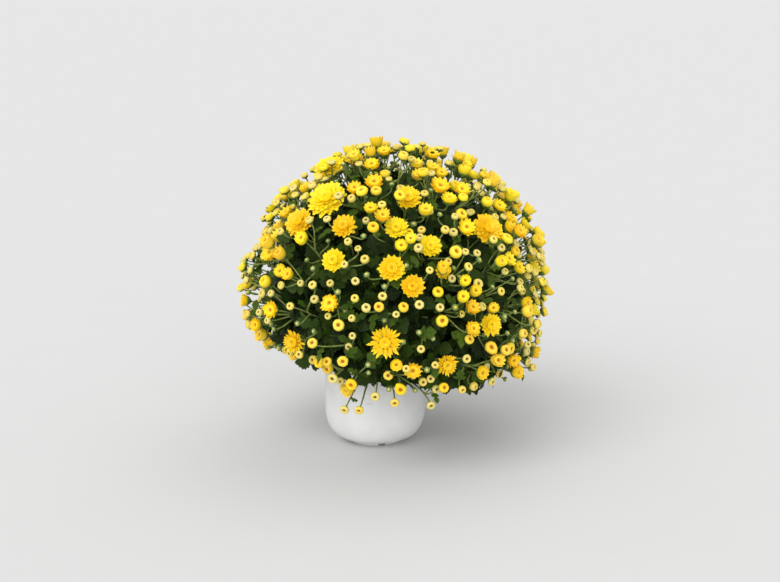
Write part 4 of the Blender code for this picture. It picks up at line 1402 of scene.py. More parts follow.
@dataclass
class Foliage:
    """The leaves that fill the shoots, besides those of the solids."""

    seed: int = 41
    # How many leaves fill the dome, deep ones longer by deep_growth, and skirt how many hang
    packed: int = 1650
    lowest: float = radians(-38)
    deep: Range = (130 * MM, 160 * MM)
    outer: Range = (158 * MM, 192 * MM)
    deep_share: float = 0.4
    deep_growth: float = 2.0
    lengths: Range = (26 * MM, 44 * MM)
    ages: Range = (0.0, 0.35)
    uneven: float = 0.06
    sway: float = 1.3
    # How much they point outwards, with level and sag for how much to a side and down
    rise: Range = (0.3, 1.0)
    level: float = 0.8
    sag: float = 0.3
    light: float = 0.45
    young_lengths: Range = (15 * MM, 31 * MM)
    young_rise: Range = (0.3, 0.9)
    young_ages: Range = (0.45, 1.0)
    skirt: int = 96
    skirt_latitude: Range = (radians(-42), radians(-22))
    skirt_roots: Range = (150 * MM, 184 * MM)
    skirt_spread: Range = (0.3, 0.9)
    skirt_sag: Range = (0.25, 0.8)
    skirt_lengths: Range = (40 * MM, 58 * MM)
    skirt_light: float = 0.5
    skirt_ages: Range = (0.0, 0.5)
    skirt_floor: float = 106 * MM

    def __post_init__(self) -> None:
        """Starts the draws."""
        self.draw = Random(self.seed)

    def filling(self) -> Iterator[LeafSpot]:
        """Yields the dark leaves that fill the dome, evenly spread over it."""
        draw, low = self.draw, sin(self.lowest)
        for k in range(self.packed):
            height = low + (1 - low) * (k + draw.random()) / self.packed
            aim = aim_of(k * GOLDEN_TURN + draw.uniform(-self.uneven, self.uneven), asin(height))
            deep = draw.random() < self.deep_share
            root = DOME.centre + aim * draw.uniform(*(self.deep if deep else self.outer))
            level = polar(aim, pi / 2, draw.gauss(0.0, self.sway) - pi / 2)
            along = aim * draw.uniform(*self.rise) + level * self.level - UP * self.sag
            length = draw.uniform(*self.lengths) * (self.deep_growth if deep else 1.0)
            spot = LeafSpot.lying(root, along, aim + UP * self.light).sized(length, draw.uniform(*self.ages))
            if DOME.spare(spot.root + spot.along * length, LEAF_REACH) > 0.0:
                yield spot

    def on_stalk(self, line: np.ndarray) -> LeafSpot:
        """Gives a small light leaf that leaves a stalk."""
        draw = self.draw
        number = draw.randrange(2, len(line) - 2)
        stalk = Vector(line[number + 1] - line[number]).normalized()
        turn, rise = draw.uniform(0, tau), draw.uniform(*self.young_rise)
        spot = LeafSpot.off_stalk(Vector(line[number]), stalk, turn, rise)
        return spot.sized(draw.uniform(*self.young_lengths), draw.uniform(*self.young_ages))

    def hanging(self) -> Iterator[LeafSpot]:
        """Yields the leaves that hang over the pot's rim."""
        draw = self.draw
        for k in range(self.skirt):
            aim = aim_of(tau * (k + draw.random()) / self.skirt, draw.uniform(*self.skirt_latitude))
            root = DOME.centre + aim * draw.uniform(*self.skirt_roots)
            level = Vector((aim.x, aim.y, 0.0)).normalized()
            along = level * draw.uniform(*self.skirt_spread) - UP * draw.uniform(*self.skirt_sag)
            spot = LeafSpot.lying(root, along, level + UP * self.skirt_light)
            spot = spot.sized(draw.uniform(*self.skirt_lengths), draw.uniform(*self.skirt_ages))
            tip = root + spot.along * spot.length
            if tip.z > self.skirt_floor and DOME.spare(tip, LEAF_REACH) > 0.0:
                yield spot


class Paint:
    """A material in the making: its nodes are added and linked one by one."""

    def __init__(self, name: str, roughness: float = 0.5, specular: float = 0.5) -> None:
        """Starts a material.

        Args:
            name: Its name.
            roughness: How matt it is.
            specular: How strongly it reflects.
        """
        self.material = bpy.data.materials.new(name)
        self.material.use_nodes = True
        self.tree = self.material.node_tree
        self.shader = self.tree.nodes["Principled BSDF"]
        self.shader.inputs["Roughness"].default_value = roughness
        self.shader.inputs["Specular IOR Level"].default_value = specular

    def feed(self, socket: NodeSocket, value: object) -> None:
        """Links an output to a socket, or sets the socket to a plain value.

        Args:
            socket: The socket.
            value: The output, colour or number.
        """
        if isinstance(value, NodeSocket):
            self.tree.links.new(value, socket)
        elif isinstance(value, tuple) and len(value) == 3 and socket.type == "RGBA":
            socket.default_value = (*value, 1.0)
        else:
            socket.default_value = value

    def math(self, operation: str, *values: object) -> NodeSocket:
        """Gives a calculation.

        Args:
            operation: Its name, with a star at the end where the result is kept from 0 to 1.
            values: Numbers or outputs.

        Returns:
            The result.
        """
        node = self.tree.nodes.new("ShaderNodeMath")
        node.operation = operation.rstrip("*")
        node.use_clamp = operation.endswith("*")
        for socket, value in zip(node.inputs, values):
            self.feed(socket, value)
        return node.outputs[0]

    def times(self, a: object, b: object) -> NodeSocket:
        """Gives a product."""
        return self.math("MULTIPLY", a, b)

    def mix(self, factor: object, a: object, b: object) -> NodeSocket:
        """Gives a colour between two colours.

        Args:
            factor: How near the second it is, from 0 to 1.
            a: The first.
            b: The second.

        Returns:
            The colour.
        """
        node = self.tree.nodes.new("ShaderNodeMix")
        node.data_type = "RGBA"
        colours = [s for s in node.inputs if s.type == "RGBA"]
        self.feed(node.inputs[0], factor)
        self.feed(colours[0], a)
        self.feed(colours[1], b)
        return next(s for s in node.outputs if s.type == "RGBA")

    def between(self, value: object, low: float, high: float, to: Range = (0.0, 1.0)) -> NodeSocket:
        """Gives a value rescaled from one range to another and kept in it."""
        node = self.tree.nodes.new("ShaderNodeMapRange")
        node.interpolation_type = "SMOOTHSTEP"
        for socket, number in zip(node.inputs, (value, low, high, *to)):
            self.feed(socket, number)
        return node.outputs[0]

    def values(self, name: str) -> list[NodeSocket]:
        """Gives the three numbers that the mesh keeps under a name."""
        source = self.tree.nodes.new("ShaderNodeAttribute")
        source.attribute_name = name
        return self.split(source.outputs["Vector"])

    def split(self, vector: NodeSocket) -> list[NodeSocket]:
        """Gives the three numbers of a vector."""
        parts = self.tree.nodes.new("ShaderNodeSeparateXYZ")
        self.feed(parts.inputs[0], vector)
        return list(parts.outputs)

    def place(self) -> NodeSocket:
        """Gives the point's place in the model."""
        return self.tree.nodes.new("ShaderNodeTexCoord").outputs["Object"]

    def noise(self, scale: float, detail: float = 3.0, stretch: Triple = (1.0, 1.0, 1.0)) -> NodeSocket:
        """Gives cloudy values round one half.

        Args:
            scale: How fine it is, in clouds a metre.
            detail: How many finer layers it has.
            stretch: How much finer it is along each axis.

        Returns:
            The value.
        """
        node = self.tree.nodes.new("ShaderNodeTexNoise")
        mapping = self.tree.nodes.new("ShaderNodeMapping")
        mapping.inputs["Scale"].default_value = stretch
        self.feed(mapping.inputs["Vector"], self.place())
        self.feed(node.inputs["Vector"], mapping.outputs[0])
        node.inputs["Scale"].default_value = scale
        node.inputs["Detail"].default_value = detail
        return node.outputs[0]

    def bump(self, height: NodeSocket, strength: float, distance: float) -> None:
        """Lets a height show as relief."""
        node = self.tree.nodes.new("ShaderNodeBump")
        node.inputs["Strength"].default_value = strength
        node.inputs["Distance"].default_value = distance
        self.feed(node.inputs["Height"], height)
        self.feed(self.shader.inputs["Normal"], node.outputs[0])

    def cover(self, colour: object, cloud: object, roughness: Range) -> None:
        """Gives the surface its colour, and a roughness that changes with a cloud."""
        self.feed(self.shader.inputs["Base Color"], colour)
        self.feed(self.shader.inputs["Roughness"], self.between(cloud, 0.3, 0.7, roughness))

    def soften(self, weight: float, radius: Colour, scale: float) -> None:
        """Lets light through a thin blade."""
        self.shader.inputs["Subsurface Weight"].default_value = weight
        self.shader.inputs["Subsurface Radius"].default_value = radius
        self.shader.inputs["Subsurface Scale"].default_value = scale


@dataclass(frozen=True)
class PetalFinish:
    """Yellow petals: cream in bud, gold when ripe, orange-brown by the eye, finely ribbed along."""

    cream: Colour = (0.76, 0.66, 0.20)
    gold: Colour = (0.98, 0.63, 0.005)
    lemon: Colour = (1.00, 0.78, 0.011)
    shade: Colour = (0.98, 0.61, 0.004)
    orange: Colour = (0.72, 0.27, 0.004)
    brown: Colour = (0.36, 0.095, 0.004)
    olive: Colour = (0.20, 0.115, 0.012)

    def make(self) -> Material:
        """Makes the material."""
        paint = Paint("petal_yellow", 0.5, 0.35)
        along, across, side = paint.values("blade")
        tint, ripe, core = paint.values("head")
        cloud = paint.noise(420.0)
        ripened = paint.math("ADD*", ripe, paint.times(paint.math("SUBTRACT", cloud, 0.5), 0.5))
        body = paint.mix(paint.between(tint, 0.1, 0.9), self.gold, self.lemon)
        body = paint.mix(ripened, self.cream, body)
        root = paint.times(paint.between(along, 0.40, 0.0), 0.25)
        body = paint.mix(root, body, self.shade)
        speck = paint.noise(1500.0, 2.0)
        heart = paint.mix(paint.between(speck, 0.42, 0.62), self.brown, self.orange)
        heart = paint.mix(paint.between(ripe, 0.1, 0.9), self.olive, heart)
        reach = paint.math("MULTIPLY*", core, paint.between(along, 1.25, 0.25))
        inside = paint.times(paint.between(side, 0.55, 1.0), paint.between(core, 0.3, 0.7))
        body = paint.mix(paint.math("MAXIMUM", reach, paint.times(inside, 0.5)), body, heart)
        rib = paint.math("SINE", paint.times(across, 11.0))
        relief = paint.math("ADD", paint.times(rib, 0.35), paint.times(speck, 0.5))
        paint.bump(relief, 0.35, 0.0004)
        paint.cover(body, cloud, (0.42, 0.6))
        paint.soften(0.15, (1.0, 0.6, 0.08), 0.004)
        return paint.material


@dataclass(frozen=True)
class LeafFinish:
    """Dark green leaves with a pale rib and side veins, paler underneath and lighter when young."""

    dark: Colour = (0.006, 0.014, 0.002)
    fresh: Colour = (0.030, 0.062, 0.003)
    young: Colour = (0.072, 0.126, 0.008)
    vein: Colour = (0.034, 0.064, 0.007)
    under: Colour = (0.055, 0.095, 0.026)
    vein_count: float = 9.0

    def make(self) -> Material:
        """Makes the material."""
        paint = Paint("leaf_green", 0.5, 0.16)
        along, across, side = paint.values("blade")
        tint, youth, _ = paint.values("head")
        cloud = paint.noise(90.0, 4.0)
        mixed = paint.math("ADD", paint.times(tint, 0.55), paint.times(cloud, 0.5))
        body = paint.mix(paint.between(mixed, 0.2, 0.9), self.dark, self.fresh)
        body = paint.mix(paint.between(youth, 0.3, 1.0, (0.0, 0.9)), body, self.young)
        off_rib = paint.math("ABSOLUTE", across)
        rib = paint.between(off_rib, 0.020, 0.004)
        slant = paint.math("SUBTRACT", along, paint.times(off_rib, 0.8))
        wave = paint.math("ABSOLUTE", paint.math("SINE", paint.times(slant, self.vein_count * pi)))
        branch = paint.times(paint.between(wave, 0.16, 0.02), paint.between(off_rib, 0.30, 0.05))
        veins = paint.math("MAXIMUM", rib, paint.times(branch, 0.6))
        body = paint.mix(paint.times(veins, 0.7), body, self.vein)
        body = paint.mix(paint.between(side, 0.45, 0.2, (0.0, 0.85)), body, self.under)
        pucker = paint.noise(650.0, 2.0)
        relief = paint.math("SUBTRACT", paint.times(pucker, 0.8), veins)
        paint.bump(relief, 0.45, 0.0006)
        paint.cover(body, cloud, (0.46, 0.66))
        paint.soften(0.06, (0.35, 1.0, 0.12), 0.003)
        return paint.material


@dataclass(frozen=True)
class StemFinish:
    """Stems: pale green above, turning woody brown where they leave the mix, finely ridged."""

    green: Colour = (0.150, 0.205, 0.040)
    pale: Colour = (0.270, 0.330, 0.090)
    wood: Colour = (0.090, 0.070, 0.032)
    woody_height: Range = (0.160, 0.118)
    woody_radius: Range = (0.090, 0.074)

    def make(self) -> Material:
        """Makes the material."""
        paint = Paint("stem_green", 0.5, 0.3)
        x, y, height = paint.split(paint.place())
        squares = paint.math("ADD", paint.times(x, x), paint.times(y, y))
        radius = paint.math("SQRT", squares)
        cloud = paint.noise(160.0, 4.0)
        body = paint.mix(paint.between(cloud, 0.35, 0.65), self.green, self.pale)
        by_height = paint.between(height, *self.woody_height)
        low = paint.times(by_height, paint.between(radius, *self.woody_radius))
        body = paint.mix(low, body, self.wood)
        paint.bump(paint.noise(900.0, 2.0, (1.0, 1.0, 0.15)), 0.4, 0.0005)
        paint.cover(body, cloud, (0.45, 0.65))
        return paint.material


@dataclass(frozen=True)
class CalyxFinish:
    """Green bracts under a head: painted shade in the creases between them, with thin pale edges."""

    green: Colour = (0.125, 0.215, 0.035)
    crease_shade: Colour = (0.055, 0.110, 0.018)
    # painted shade: a darker green for the creases between the bracts
    edge: Colour = (0.300, 0.370, 0.110)

    def make(self) -> Material:
        """Makes the material."""
        paint = Paint("bract_green", 0.5, 0.4)
        along, across, _ = paint.values("blade")
        cloud = paint.noise(700.0, 3.0)
        # painted shade: the points between the bract tips are mixed towards the darker crease green
        body = paint.mix(paint.between(across, 0.15, 0.9), self.green, self.crease_shade)
        pale = paint.times(paint.between(along, 0.45, 0.8), paint.between(cloud, 0.3, 0.6))
        body = paint.mix(paint.times(pale, 0.6), body, self.edge)
        paint.bump(cloud, 0.4, 0.0004)
        paint.cover(body, cloud, (0.45, 0.62))
        return paint.material


@dataclass(frozen=True)
class PotFinish:
    """White satin plastic with faint mould flow, a little dust by the foot and one grey rub mark."""

    white: Colour = (0.775, 0.78, 0.765)
    flow: Colour = (0.730, 0.735, 0.72)
    dust: Colour = (0.50, 0.47, 0.42)
    rub: Colour = (0.32, 0.32, 0.31)
    dust_height: Range = (0.020, 0.0)
    rub_place: Range = (-0.008, 0.0806)
    rub_size: Range = (0.0065, 0.0009)

    def make(self) -> Material:
        """Makes the material."""
        paint = Paint("pot_plastic", 0.42, 0.45)
        x, y, z = paint.split(paint.place())
        cloud = paint.noise(28.0, 4.0)
        body = paint.mix(paint.between(cloud, 0.35, 0.7), self.white, self.flow)
        low = paint.times(paint.between(z, *self.dust_height), paint.between(paint.noise(160.0), 0.35, 0.65))
        body = paint.mix(paint.times(low, 0.35), body, self.dust)
        off_x = paint.math("ABSOLUTE", paint.math("SUBTRACT", x, self.rub_place[0]))
        off_z = paint.math("ABSOLUTE", paint.math("SUBTRACT", z, self.rub_place[1]))
        in_x = paint.between(off_x, self.rub_size[0], 0.7 * self.rub_size[0])
        in_z = paint.between(off_z, self.rub_size[1], 0.3 * self.rub_size[1])
        mark = paint.times(paint.times(in_x, in_z), paint.between(y, 0.0, -0.02))
        body = paint.mix(paint.times(mark, 0.45), body, self.rub)
        grain = paint.noise(2600.0, 2.0)
        paint.bump(grain, 0.06, 0.0002)
        paint.cover(body, cloud, (0.36, 0.48))
        paint.soften(0.12, (1.0, 0.95, 0.9), 0.004)
        return paint.material


@dataclass(frozen=True)
class MixFinish:
    """Dark moist potting mix with brown fibres and a few pale grains."""

    dark: Colour = (0.020, 0.013, 0.008)
    brown: Colour = (0.075, 0.045, 0.024)
    grain: Colour = (0.420, 0.400, 0.350)

    def make(self) -> Material:
        """Makes the material."""
        paint = Paint("potting_mix_dark", 0.9, 0.3)
        coarse = paint.noise(240.0, 6.0)
        fibre = paint.noise(520.0, 4.0, (1.0, 0.25, 1.0))
        body = paint.mix(paint.between(coarse, 0.35, 0.68), self.dark, self.brown)
        body = paint.mix(paint.between(fibre, 0.70, 0.76), body, self.grain)
        paint.bump(paint.math("ADD", coarse, fibre), 0.8, 0.002)
        paint.cover(body, coarse, (0.72, 0.95))
        return paint.material


def declare(piece: Object, slot: Slot, nodes: Iterable[str]) -> None:
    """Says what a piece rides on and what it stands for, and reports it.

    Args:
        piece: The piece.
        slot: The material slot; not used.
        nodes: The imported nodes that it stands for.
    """
    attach(piece, "root")
    for node in nodes:
        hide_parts(node)
    corners = sum(len(face.vertices) - 2 for face in piece.data.polygons)
    LOG.info("%s: %d triangles, stands for %s", piece.name, corners, ", ".join(nodes))


@dataclass
class Pot:
    """The white bowl pot on its low foot, with a rolled rim and drain slots in the foot's edge."""

    height: float = 132 * MM
    rim_radius: float = 84 * MM
    wall_radius: float = 81.5 * MM
    belly_radius: float = 81 * MM
    belly_height: float = 52 * MM
    foot_radius: float = 44 * MM
    foot_height: float = 7 * MM
    wall: float = 2 * MM
    floor: float = 2.6 * MM
    rim_depth: float = 9 * MM
    rim_round: float = 1 * MM
    overhang: float = 8.5 * MM
    bowl_start: float = 0.12
    drains: int = 5
    drain_turn: float = 0.2
    drain_size: Triple = (14 * MM, 11 * MM, 6.4 * MM)
    hub: float = 4 * MM
    taper: Range = (0.4 * MM, 6 * MM)
    lip: Range = (0.2 * MM, 0.8 * MM)
    outer_steps: int = 22
    inner_steps: int = 10
    sides: int = 120

    def bowl(self, inset: float, steps: int) -> Rings:
        """Gives the bowl's curve from the foot to the belly.

        Args:
            inset: How far it is moved in.
            steps: How many steps it has.

        Returns:
            Radius and height of each ring.
        """
        low = self.foot_radius + self.overhang
        rise = self.belly_height - self.foot_height
        points = []
        for k in range(steps + 1):
            turn = pi / 2 * (self.bowl_start + (1 - self.bowl_start) * k / steps)
            out = low + (self.belly_radius - low - inset) * sin(turn)
            points.append((out, self.belly_height - (rise - inset) * cos(turn)))
        return points

    def inside(self, gap: float, top: float) -> Rings:
        """Gives the inside from near the axis upwards.

        Args:
            gap: How far it is moved in.
            top: Up to which height it goes.

        Returns:
            Radius and height of each ring.
        """
        well, floor = self.foot_radius - self.wall - gap, self.floor + gap
        points = [(self.hub, floor), (well, floor), (well, self.foot_height + self.wall / 2 + gap)]
        points += self.bowl(self.wall + gap, self.inner_steps)
        low_radius, low = points[-1]
        high_radius = self.wall_radius - self.wall - gap
        share = (top - low) / (self.height - low)
        return points + [(low_radius + (high_radius - low_radius) * share, top)]

    def outside(self) -> Rings:
        """Gives the outside from under the foot to the top of the rim."""
        under, r = self.height - self.rim_depth, self.rim_round
        points = [(self.hub, 0.0), (self.foot_radius - 0.5 * r, 0.0), (self.foot_radius, 0.5 * r)]
        points += [(self.foot_radius, self.foot_height - r)] + self.bowl(0.0, self.outer_steps)
        points += [(self.wall_radius - self.taper[0], under - self.taper[1])]
        points += [(self.wall_radius, under - 0.3 * r), (self.wall_radius + 0.6 * r, under)]
        points += [(self.rim_radius, under + r)]
        corner = [(cos(a) - 1, sin(a) - 1) for a in (0.0, 0.52, 1.05, 1.57)]
        return points + [(self.rim_radius + r * out, self.height + r * up) for out, up in corner]

    def build(self, finish: Material) -> None:
        """Makes the pot and cuts its drain slots."""
        inner = self.inside(0.0, self.height)
        out, down = self.lip
        inner[-1] = (inner[-1][0] + out, self.height)
        inner.insert(-1, (inner[-1][0] - out, self.height - down))
        sheaf = Sheaf("pot_shell", [finish])
        sheaf.add(turned(self.outside() + inner[::-1], self.sides))
        pot = sheaf.build(35.0)
        for k in range(self.drains):
            turn = tau * (k + self.drain_turn) / self.drains - pi / 2
            self.cut_slot(pot, turn)
        declare(pot, Slot.POT, ["pot"])

    def cut_slot(self, pot: Object, turn: float) -> None:
        """Cuts a drain slot in the foot's lower edge.

        Args:
            pot: The pot.
            turn: Where the slot is, round the axis.
        """
        block = bmesh.new()
        size = Matrix.Diagonal((*self.drain_size, 1.0))
        place = Matrix.Rotation(turn, 4, "Z") @ Matrix.Translation((self.foot_radius, 0.0, 0.0)) @ size
        bmesh.ops.create_cube(block, size=1.0, matrix=place)
        mesh = bpy.data.meshes.new("slot_cutter")
        block.to_mesh(mesh)
        block.free()
        cutter = bpy.data.objects.new("slot_cutter", mesh)
        bpy.context.scene.collection.objects.link(cutter)
        modifier = pot.modifiers.new("slot", "BOOLEAN")
        modifier.operation = "DIFFERENCE"
        modifier.object = cutter
        bpy.context.view_layer.update()
        graph = bpy.context.evaluated_depsgraph_get()
        result = bpy.data.meshes.new_from_object(pot.evaluated_get(graph))
        pot.modifiers.clear()
        pot.data = result
        bpy.data.objects.remove(cutter)


@dataclass
class PottingMix:
    """The mix that fills the pot to under its rim, with a crumbly crowned top."""

    pot: Pot
    top: float = 118 * MM
    crown: float = 3 * MM  # how much higher it is in the middle
    gap: float = 0.3 * MM
    sides: int = 120
    rings: int = 26
    rough: float = 0.35 * MM
    crumbs: int = 420
    crumb_sizes: Range = (0.8 * MM, 2.4 * MM)
    crumb_area: float = 0.93  # the share of the top that they lie on
    seed: int = 8

    def build(self, finish: Material) -> None:
        """Makes the mix."""
        draw = np.random.default_rng(self.seed)
        inner = self.pot.inside(self.gap, self.top)
        edge = inner[-1][0]
        shares = np.linspace(0.985, 0.02, self.rings)
        crowned = [(edge * s, self.top + self.crown * (1 - s * s)) for s in shares]
        body = turned(inner + crowned, self.sides)
        loose = body.points[len(inner) * self.sides :]
        loose[:, 2] += draw.normal(0.0, self.rough, len(loose))
        sheaf = Sheaf("peat_fill", [finish])
        sheaf.add(body)
        for _ in range(self.crumbs):
            self.add_crumb(sheaf, edge, draw)
        declare(sheaf.build(40.0), Slot.POTTING_MIX, ["potting_mix"])

    def add_crumb(self, sheaf: Sheaf, edge: float, draw: Generator) -> None:
        """Adds a loose crumb that is half sunk in the top.

        Args:
            sheaf: The piece.
            edge: The top's radius.
            draw: Where its place and shape come from.
        """
        turn, share = draw.uniform(0.0, tau), sqrt(draw.uniform(0.0, self.crumb_area))
        size = draw.uniform(*self.crumb_sizes)
        crumb = turned([(0.5 * size, -0.8 * size), (size, -0.1 * size), (0.6 * size, 0.7 * size)], 6)
        crumb.points *= draw.uniform(0.75, 1.2, crumb.points.shape)
        height = self.top + self.crown * (1 - share * share)
        place = np.array((edge * share * cos(turn), edge * share * sin(turn), height + 0.2 * size))
        spin = np.array(Matrix.Rotation(draw.uniform(0.0, tau), 3, "Z"))
        sheaf.add(crumb.moved(spin, place))


@dataclass
class Stems:
    """The main stem of each shoot and the branches under its canopy."""

    rules: SolidRules
    soil_top: float = 118 * MM
    hole_depth: float = 34 * MM
    upright: float = 6 * MM
    # How far from the pot's axis the upper and the side shoots leave the mix
    feet: Range = (20 * MM, 50 * MM)
    bend: float = 0.45
    steps: int = 14
    canopy_depth: float = 15 * MM
    radii: Range = (3.4 * MM, 2.4 * MM)
    branch_radii: Range = (2.1 * MM, 1.4 * MM)
    sides: int = 8
    branches: int = 3
    branch_sides: int = 6
    branch_steps: int = 7
    reach: float = 0.55  # how far out the branches end, and twig_reach the twigs, as a share of the canopy
    fork: float = 0.70  # where along the stem the branches start, and twig_forks the twigs
    twigs: int = 8
    twig_reach: Range = (0.3, 0.95)
    twig_forks: Range = (0.4, 0.85)
    twig_size: float = 0.8
    ends: Range = (0.8, 0.3)  # how far the curve of a branch runs straight before and after its knee
    sag: float = 8 * MM
    seed: int = 3

    def main_path(self, shoot: int) -> np.ndarray:
        """Gives the middle line of a main stem.

        Args:
            shoot: The shoot.

        Returns:
            Its points, from its foot in the mix upwards.
        """
        aim = DOME.aims[shoot]
        spread = self.feet[0] if shoot < DOME.upper_shoots else self.feet[1]
        out = Vector((aim.x, aim.y, 0.0)).normalized() * spread
        foot = Vector((out.x, out.y, self.soil_top))
        end = DOME.centre + aim * (self.rules.canopy_radius - self.canopy_depth / 2)
        rise = (end - foot).length * self.bend
        above = foot + UP * self.upright
        ends = [np.array(p) for p in (above, above + UP * rise, end - aim * rise, end)]
        return np.concatenate(([foot - UP * self.hole_depth, foot], bezier(*ends, self.steps)))

    def branch(self, fork: np.ndarray, shoot: int, turn: float, share: float) -> np.ndarray:
        """Gives the middle line of a branch.

        Args:
            fork: Where it leaves the main stem.
            shoot: The shoot.
            turn: Its turn round the shoot's middle.
            share: How far out it ends, as a share of the canopy.

        Returns:
            Its points.
        """
        aim = polar(DOME.aims[shoot], self.rules.canopy_reach(shoot, turn) * share, turn)
        tip = DOME.centre + aim * (self.rules.canopy_radius - self.canopy_depth / 2)
        knee = np.array((Vector(fork) + tip) / 2 - DOME.aims[shoot] * self.sag)
        end, (before, after) = np.array(tip), self.ends
        bends = fork + (knee - fork) * before, knee + (end - knee) * after
        return bezier(fork, *bends, end, self.branch_steps)

    def add(self, shoot: int, sheaf: Sheaf) -> None:
        """Adds a shoot's main stem, branches and twigs to a piece.

        Args:
            shoot: The shoot.
            sheaf: The piece.
        """
        draw = Random(self.seed + shoot)
        path = self.main_path(shoot)
        shares = np.linspace(0.0, 1.0, len(path))
        sheaf.add(tube(path, np.interp(shares, (0.0, 1.0), self.radii), self.sides))
        for k in range(self.branches + self.twigs):
            own = k < self.branches
            turn = tau * (k + 0.5) / self.branches if own else draw.uniform(0, tau)
            share = self.reach if own else draw.uniform(*self.twig_reach)
            at = self.fork if own else draw.uniform(*self.twig_forks)
            line = self.branch(path[2 + round(at * self.steps)], shoot, turn, share)
            radii = np.linspace(*self.branch_radii, len(line)) * (1.0 if own else self.twig_size)
            sheaf.add(tube(line, radii, self.branch_sides))


@dataclass
class Plant:
    """The whole plant: for each shoot its stems, leaves and small heads, and each open bloom."""

    petal: Material
    calyx: Material
    leaf: Material
    stem: Material
    leafy_share: float = 0.60
    solid_leaf: float = 0.85  # how long a leaf is made, as a share of its solid
    front_lean: float = 0.5  # how much the front blooms lean forward
    fine_from: float = 170 * MM  # front leaves rooted further out than this are made with more points

    def build(self) -> None:
        """Makes all its pieces."""
        rules = SolidRules()
        rules.lay_out()
        scatter = SmallHeads()
        scatter.ripen(rules)
        small = scatter.lay_out(rules)
        for bloom in rules.blooms[: len(FRONT_BLOOMS)]:
            bloom.tilt = DOME.near * self.front_lean
        closed = rules.cups + rules.buds
        LOG.info("%d blooms, %d solid cups and buds, %d more", len(rules.blooms), len(closed), len(small))
        maker = HeadMaker()
        self.build_blooms(rules, maker)
        self.build_heads(closed + small, maker)
        self.build_leaves(rules, self.build_stems(rules, small))

    @staticmethod
    def sheaves(kind: str, *finishes: Material) -> list[Sheaf]:
        """Starts a piece for each shoot."""
        return [Sheaf(f"shoot_{number}_{kind}", list(finishes)) for number in range(1, len(DOME.aims) + 1)]

    @staticmethod
    def close(sheaves: list[Sheaf], slot: Slot, sharp: float = 62.0) -> None:
        for number, sheaf in enumerate(sheaves, start=1):
            declare(sheaf.build(sharp), slot, [f"leafy_shoot_{number}"])

    def build_blooms(self, rules: SolidRules, maker: HeadMaker) -> None:
        """Makes each open bloom as a piece of its own."""
        for number, head in enumerate(rules.blooms, start=1):
            sheaf = Sheaf(f"open_bloom_{number:02d}", [self.petal, self.calyx])
            maker.add(head, sheaf)
            declare(sheaf.build(), Slot.PETALS, [f"bloom_{number:02d}"])

    def build_heads(self, heads: list[Head], maker: HeadMaker) -> None:
        """Makes the cups and buds of each shoot as one piece."""
        sheaves = self.sheaves("heads", self.petal, self.calyx)
        for shoot, sheaf in enumerate(sheaves):
            for head in (head for head in heads if DOME.shoot_of(head.aim) == shoot):
                maker.add(head, sheaf)
        self.close(sheaves, Slot.PETALS)

    def build_stems(self, rules: SolidRules, small: list[Head]) -> list[tuple[int, np.ndarray]]:
        """Makes the stems and stalks of each shoot as one piece.

        Args:
            rules: The layout of the solids.
            small: The heads that the solids leave out.

        Returns:
            For each stalk its shoot and its middle line.
        """
        stalks, stems = Stalks(), Stems(rules)
        sheaves = self.sheaves("stems", self.stem)
        for shoot, sheaf in enumerate(sheaves):
            stems.add(shoot, sheaf)
        solid = rules.blooms + rules.cups + rules.buds
        lines = []
        for heads, make, radii in ((solid, stalks.own, stalks.thick), (small, stalks.forked, stalks.thin)):
            for head in heads:
                shoot, line = DOME.shoot_of(head.aim), make(head)
                lines.append((shoot, line))
                sheaves[shoot].add(tube(line, np.linspace(*radii, len(line)), stalks.sides))
        self.close(sheaves, Slot.FOLIAGE)
        return lines

    def build_leaves(self, rules: SolidRules, lines: list[tuple[int, np.ndarray]]) -> None:
        """Makes the leaves of each shoot as one piece.

        Args:
            rules: The layout of the solids.
            lines: For each stalk its shoot and its middle line.
        """
        maker, foliage = LeafMaker(), Foliage()
        sheaves = self.sheaves("leaves", self.leaf)
        for shoot, spots in enumerate(rules.leaves):
            for spot in spots:
                spot.length *= self.solid_leaf
                maker.add(spot, sheaves[shoot], fine=True)
        for spot in list(foliage.filling()) + list(foliage.hanging()):
            out = spot.root - DOME.centre
            fine = out.length > self.fine_from and spot.root.y < 0.0
            maker.add(spot, sheaves[DOME.shoot_of(out.normalized())], fine, loose=1.0)
        for shoot, line in lines:
            if foliage.draw.random() < self.leafy_share:
                maker.add(foliage.on_stalk(line), sheaves[shoot], fine=False, loose=1.0)
        self.close(sheaves, Slot.FOLIAGE, 50.0)


@dataclass(frozen=True)
class FloorFinish:
    """Pale matt backdrop board with a very faint mottle."""

    pale: Colour = (0.66, 0.66, 0.66)
    other: Colour = (0.645, 0.645, 0.645)

    def make(self) -> Material:
        """Makes the material."""
        paint = Paint("floor_board", 0.9, 0.1)
        paint.feed(paint.shader.inputs["Base Color"], paint.mix(paint.noise(6.0), self.pale, self.other))
        return paint.material


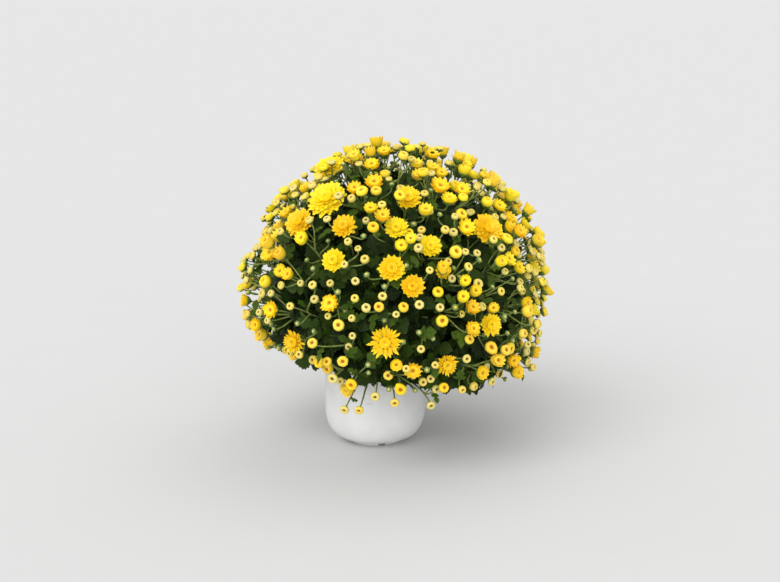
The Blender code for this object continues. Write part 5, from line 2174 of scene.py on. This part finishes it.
@dataclass
class Studio:
    """The camera, the soft lights and the floor."""

    target: Vector = field(default_factory=lambda: Vector((0.024, 0.0, 0.2445)))
    elevation: float = radians(12.15)
    distance: float = 2.184
    lens: float = 63.0  # its lens, on a sensor 36 mm wide
    world: float = 0.74
    # For each light its azimuth, elevation, strength and width
    suns: tuple[tuple[float, float, float, float], ...] = (
        (-34.0, 42.0, 1.46, 50.0),
        (8.0, 12.0, 1.20, 60.0),
        (150.0, 55.0, 0.30, 50.0),
    )
    floor_size: float = 1600.0

    def build(self) -> None:
        """Sets the scene."""
        scene = bpy.context.scene
        scene.view_settings.view_transform = "Standard"
        self.place_camera()
        for number, (azimuth, elevation, strength, width) in enumerate(self.suns):
            lamp = bpy.data.lights.new(f"soft_light_{number + 1}", "SUN")
            lamp.energy = strength
            lamp.angle = radians(width)
            light = bpy.data.objects.new(lamp.name, lamp)
            aim = aim_of(radians(azimuth), radians(elevation))
            light.rotation_euler = aim.to_track_quat("Z", "Y").to_euler()
            scene.collection.objects.link(light)
        scene.world = bpy.data.worlds.new("surroundings")
        scene.world.use_nodes = True
        sky = scene.world.node_tree.nodes["Background"]
        sky.inputs["Color"].default_value = (1.0, 1.0, 1.0, 1.0)
        sky.inputs["Strength"].default_value = self.world
        self.lay_floor()

    def place_camera(self) -> None:
        """Puts the camera where the photo was taken from."""
        lens = bpy.data.cameras.new("camera")
        lens.lens, lens.sensor_width = self.lens, 36.0
        camera = bpy.data.objects.new("camera", lens)
        back = aim_of(0.0, self.elevation)
        camera.location = self.target + back * self.distance
        camera.rotation_euler = back.to_track_quat("Z", "Y").to_euler()
        bpy.context.scene.collection.objects.link(camera)
        bpy.context.scene.camera = camera

    def lay_floor(self) -> None:
        """Lays the floor that the pot stands on."""
        half = self.floor_size / 2
        mesh = bpy.data.meshes.new("floor")
        corners = [(-half, -half, 0), (half, -half, 0), (half, half, 0), (-half, half, 0)]
        mesh.from_pydata(corners, [], [(0, 1, 2, 3)])
        mesh.materials.append(FloorFinish().make())
        floor = bpy.data.objects.new("floor", mesh)
        bpy.context.scene.collection.objects.link(floor)
        floor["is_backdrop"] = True


def main() -> None:
    """Builds the plant, its pot and the studio."""
    logging.basicConfig(level=logging.INFO, format="%(message)s")
    Studio().build()
    pot = Pot()
    pot.build(PotFinish().make())
    PottingMix(pot).build(MixFinish().make())
    Plant(PetalFinish().make(), CalyxFinish().make(), LeafFinish().make(), StemFinish().make()).build()
    boxes = {"cad": CAD_BOX, "visual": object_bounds()}
    {name: [list(map(float, corner)) for corner in box] for name, box in boxes.items()}


if __name__ == "__main__":
    main()
